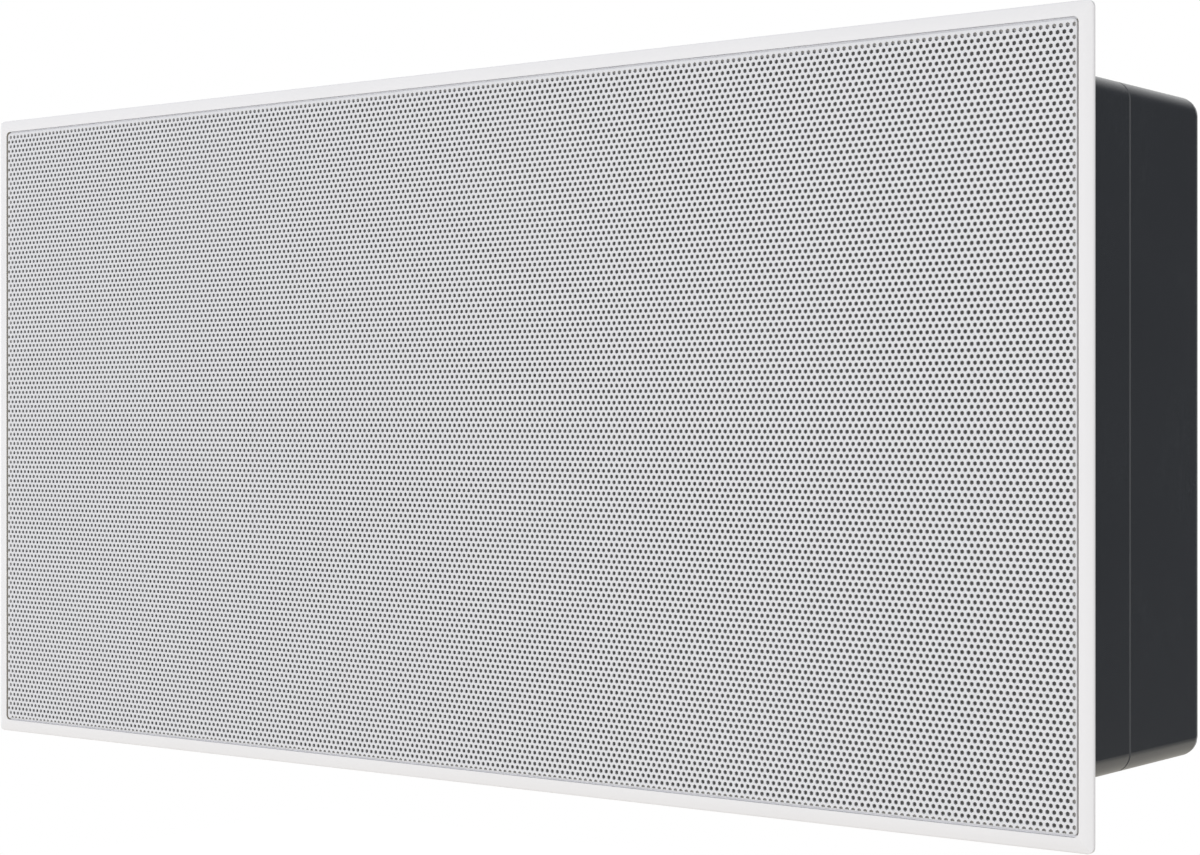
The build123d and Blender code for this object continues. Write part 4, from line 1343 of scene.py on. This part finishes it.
@dataclass
class Studio:
    """Camera at the photograph's place, plain soft light and a pale floor well below."""

    camera_mm: Triple = (520.17, -607.34, 1.045)
    look: Triple = (-0.60598, 0.79548, 0.0)
    sensor_mm: float = 36.0
    focal_px: float = 2486.0
    horizon_px: float = 423.0
    sky: float = 0.42
    sky_sides: float = 0.42
    sky_above: float = 0.12
    dark_side: float = 0.05
    floor_z: float = -0.45
    floor_size: float = 3.0
    floor_colour: Triple = (0.93, 0.885, 0.79)
    floor_glow: float = 0.6
    floor_shine: float = 0.05
    key_place: Triple = (-0.3, -2.3, 0.12)
    key_size: Pair = (1.6, 1.2)
    key_watts: float = 21.0
    mirror_edge: float = 3.0
    mirror_above: float = 1.0
    mirror_aside: Pair = (0.2, 0.9)

    @staticmethod
    def aimed(name: str, data: bpy.types.ID, place: Sequence[float], look: Vector) -> bpy.types.Object:
        """Puts a camera or a lamp at a place, looking along a direction.

        Args:
            name: The object's name.
            data: The camera or lamp.
            place: Its place in metres.
            look: The direction.

        Returns:
            The linked object.
        """
        made = linked(name, data)
        made.location = place
        made.rotation_mode = "QUATERNION"
        made.rotation_quaternion = look.to_track_quat("-Z", "Y")
        return made

    def camera(self) -> None:
        """Makes the camera: level, with the photograph's focal length and horizon."""
        data = bpy.data.cameras.new("camera")
        data.sensor_width = self.sensor_mm
        data.lens = self.focal_px / IMAGE_WIDTH * self.sensor_mm
        data.shift_y = (self.horizon_px - IMAGE_HEIGHT / 2) / IMAGE_WIDTH
        data.clip_start, data.clip_end = 0.01, 100.0
        place = Vector(self.camera_mm) * MM
        bpy.context.scene.camera = self.aimed("camera", data, place, Vector(self.look))

    def rays(self, bench: NodeBench) -> tuple[Wire, Wire]:
        """1 for rays that see straight (camera and transmission), and 1 for glossy rays.

        Args:
            bench: The bench of a material or the world.

        Returns:
            The two wires.
        """
        outputs = bench.node("ShaderNodeLightPath").socket.node.outputs
        camera, glossy, through = [
            Wire(bench, outputs[n]) for n in ("Is Camera Ray", "Is Glossy Ray", "Is Transmission Ray")
        ]
        return (camera + through).at_most(1.0), glossy

    def world(self) -> None:
        """Pale sky, brighter at the sides; white where it is seen, and mirrored dark from behind on the right."""
        world = bpy.data.worlds.new("studio")
        bpy.context.scene.world = world
        bench = NodeBench(world)
        straight, glossy = self.rays(bench)
        x, y, z = bench.axes(bench.place("Generated"))
        base, lift = self.mirror_aside
        front = (y * -self.mirror_edge).held()
        above = (z * self.mirror_edge - self.mirror_above).held()
        aside = (x * self.mirror_edge + base + z.at_least(0.0) * lift).held()
        mirror = (aside * (1.0 - front) * (1.0 - above)).between(1.0, self.dark_side)
        sky = x.absolute() * self.sky_sides + z * self.sky_above + self.sky
        strength = straight + glossy * mirror + (1.0 - straight - glossy).at_least(0.0) * sky
        shader = bench.node("ShaderNodeBackground", sockets={"Color": WHITE, "Strength": strength})
        bench.node("ShaderNodeOutputWorld", sockets={"Surface": shader})

    def floor(self) -> None:
        """Pale floor that keeps the shadow, lifted to white where it is seen unshaded."""
        half = self.floor_size / 2
        corners = np.array([(-half, -half), (half, -half), (half, half), (-half, half)])
        points = np.concatenate([corners, np.full((4, 1), self.floor_z)], axis=1)
        floor = mesh_object("floor", points, [np.array([[0, 1, 2, 3]])])
        material = bpy.data.materials.new("floor_white")
        bench = NodeBench(material)
        matt = bench.node("ShaderNodeBsdfDiffuse", sockets={"Color": (*self.floor_colour, 1.0)})
        straight, glossy = self.rays(bench)
        lift = straight * self.floor_glow + glossy * self.floor_shine
        glow = bench.node("ShaderNodeEmission", sockets={"Color": WHITE, "Strength": lift})
        both = bench.node("ShaderNodeAddShader", sockets={0: matt, 1: glow})
        bench.node("ShaderNodeOutputMaterial", sockets={"Surface": both})
        floor.data.materials.append(material)

    def lamp(self) -> None:
        """One broad soft lamp in front, to the left and above."""
        data = bpy.data.lights.new("key", "AREA")
        data.shape = "RECTANGLE"
        data.size, data.size_y = self.key_size
        data.energy = self.key_watts
        self.aimed("key", data, self.key_place, -Vector(self.key_place))

    def build(self) -> None:
        """Sets up the studio."""
        bpy.context.scene.view_settings.view_transform = "Standard"
        self.camera()
        self.world()
        self.floor()
        self.lamp()


def main() -> None:
    """Builds the studio and every sub-assembly, in order."""
    logging.basicConfig(level=logging.INFO, format="%(name)s %(message)s")
    Studio().build()
    finishes = Finishes()
    Cabinet(finishes).build()
    PerforatedGrille(finishes).build()
    for side in SIDES:
        Woofer(finishes, side).build()
    for level in LEVELS:
        for side in SIDES:
            WallClamp(finishes, level, side).build()
    Crossover(finishes).build()
    DampingPads(finishes).build()


if __name__ == "__main__":
    main()
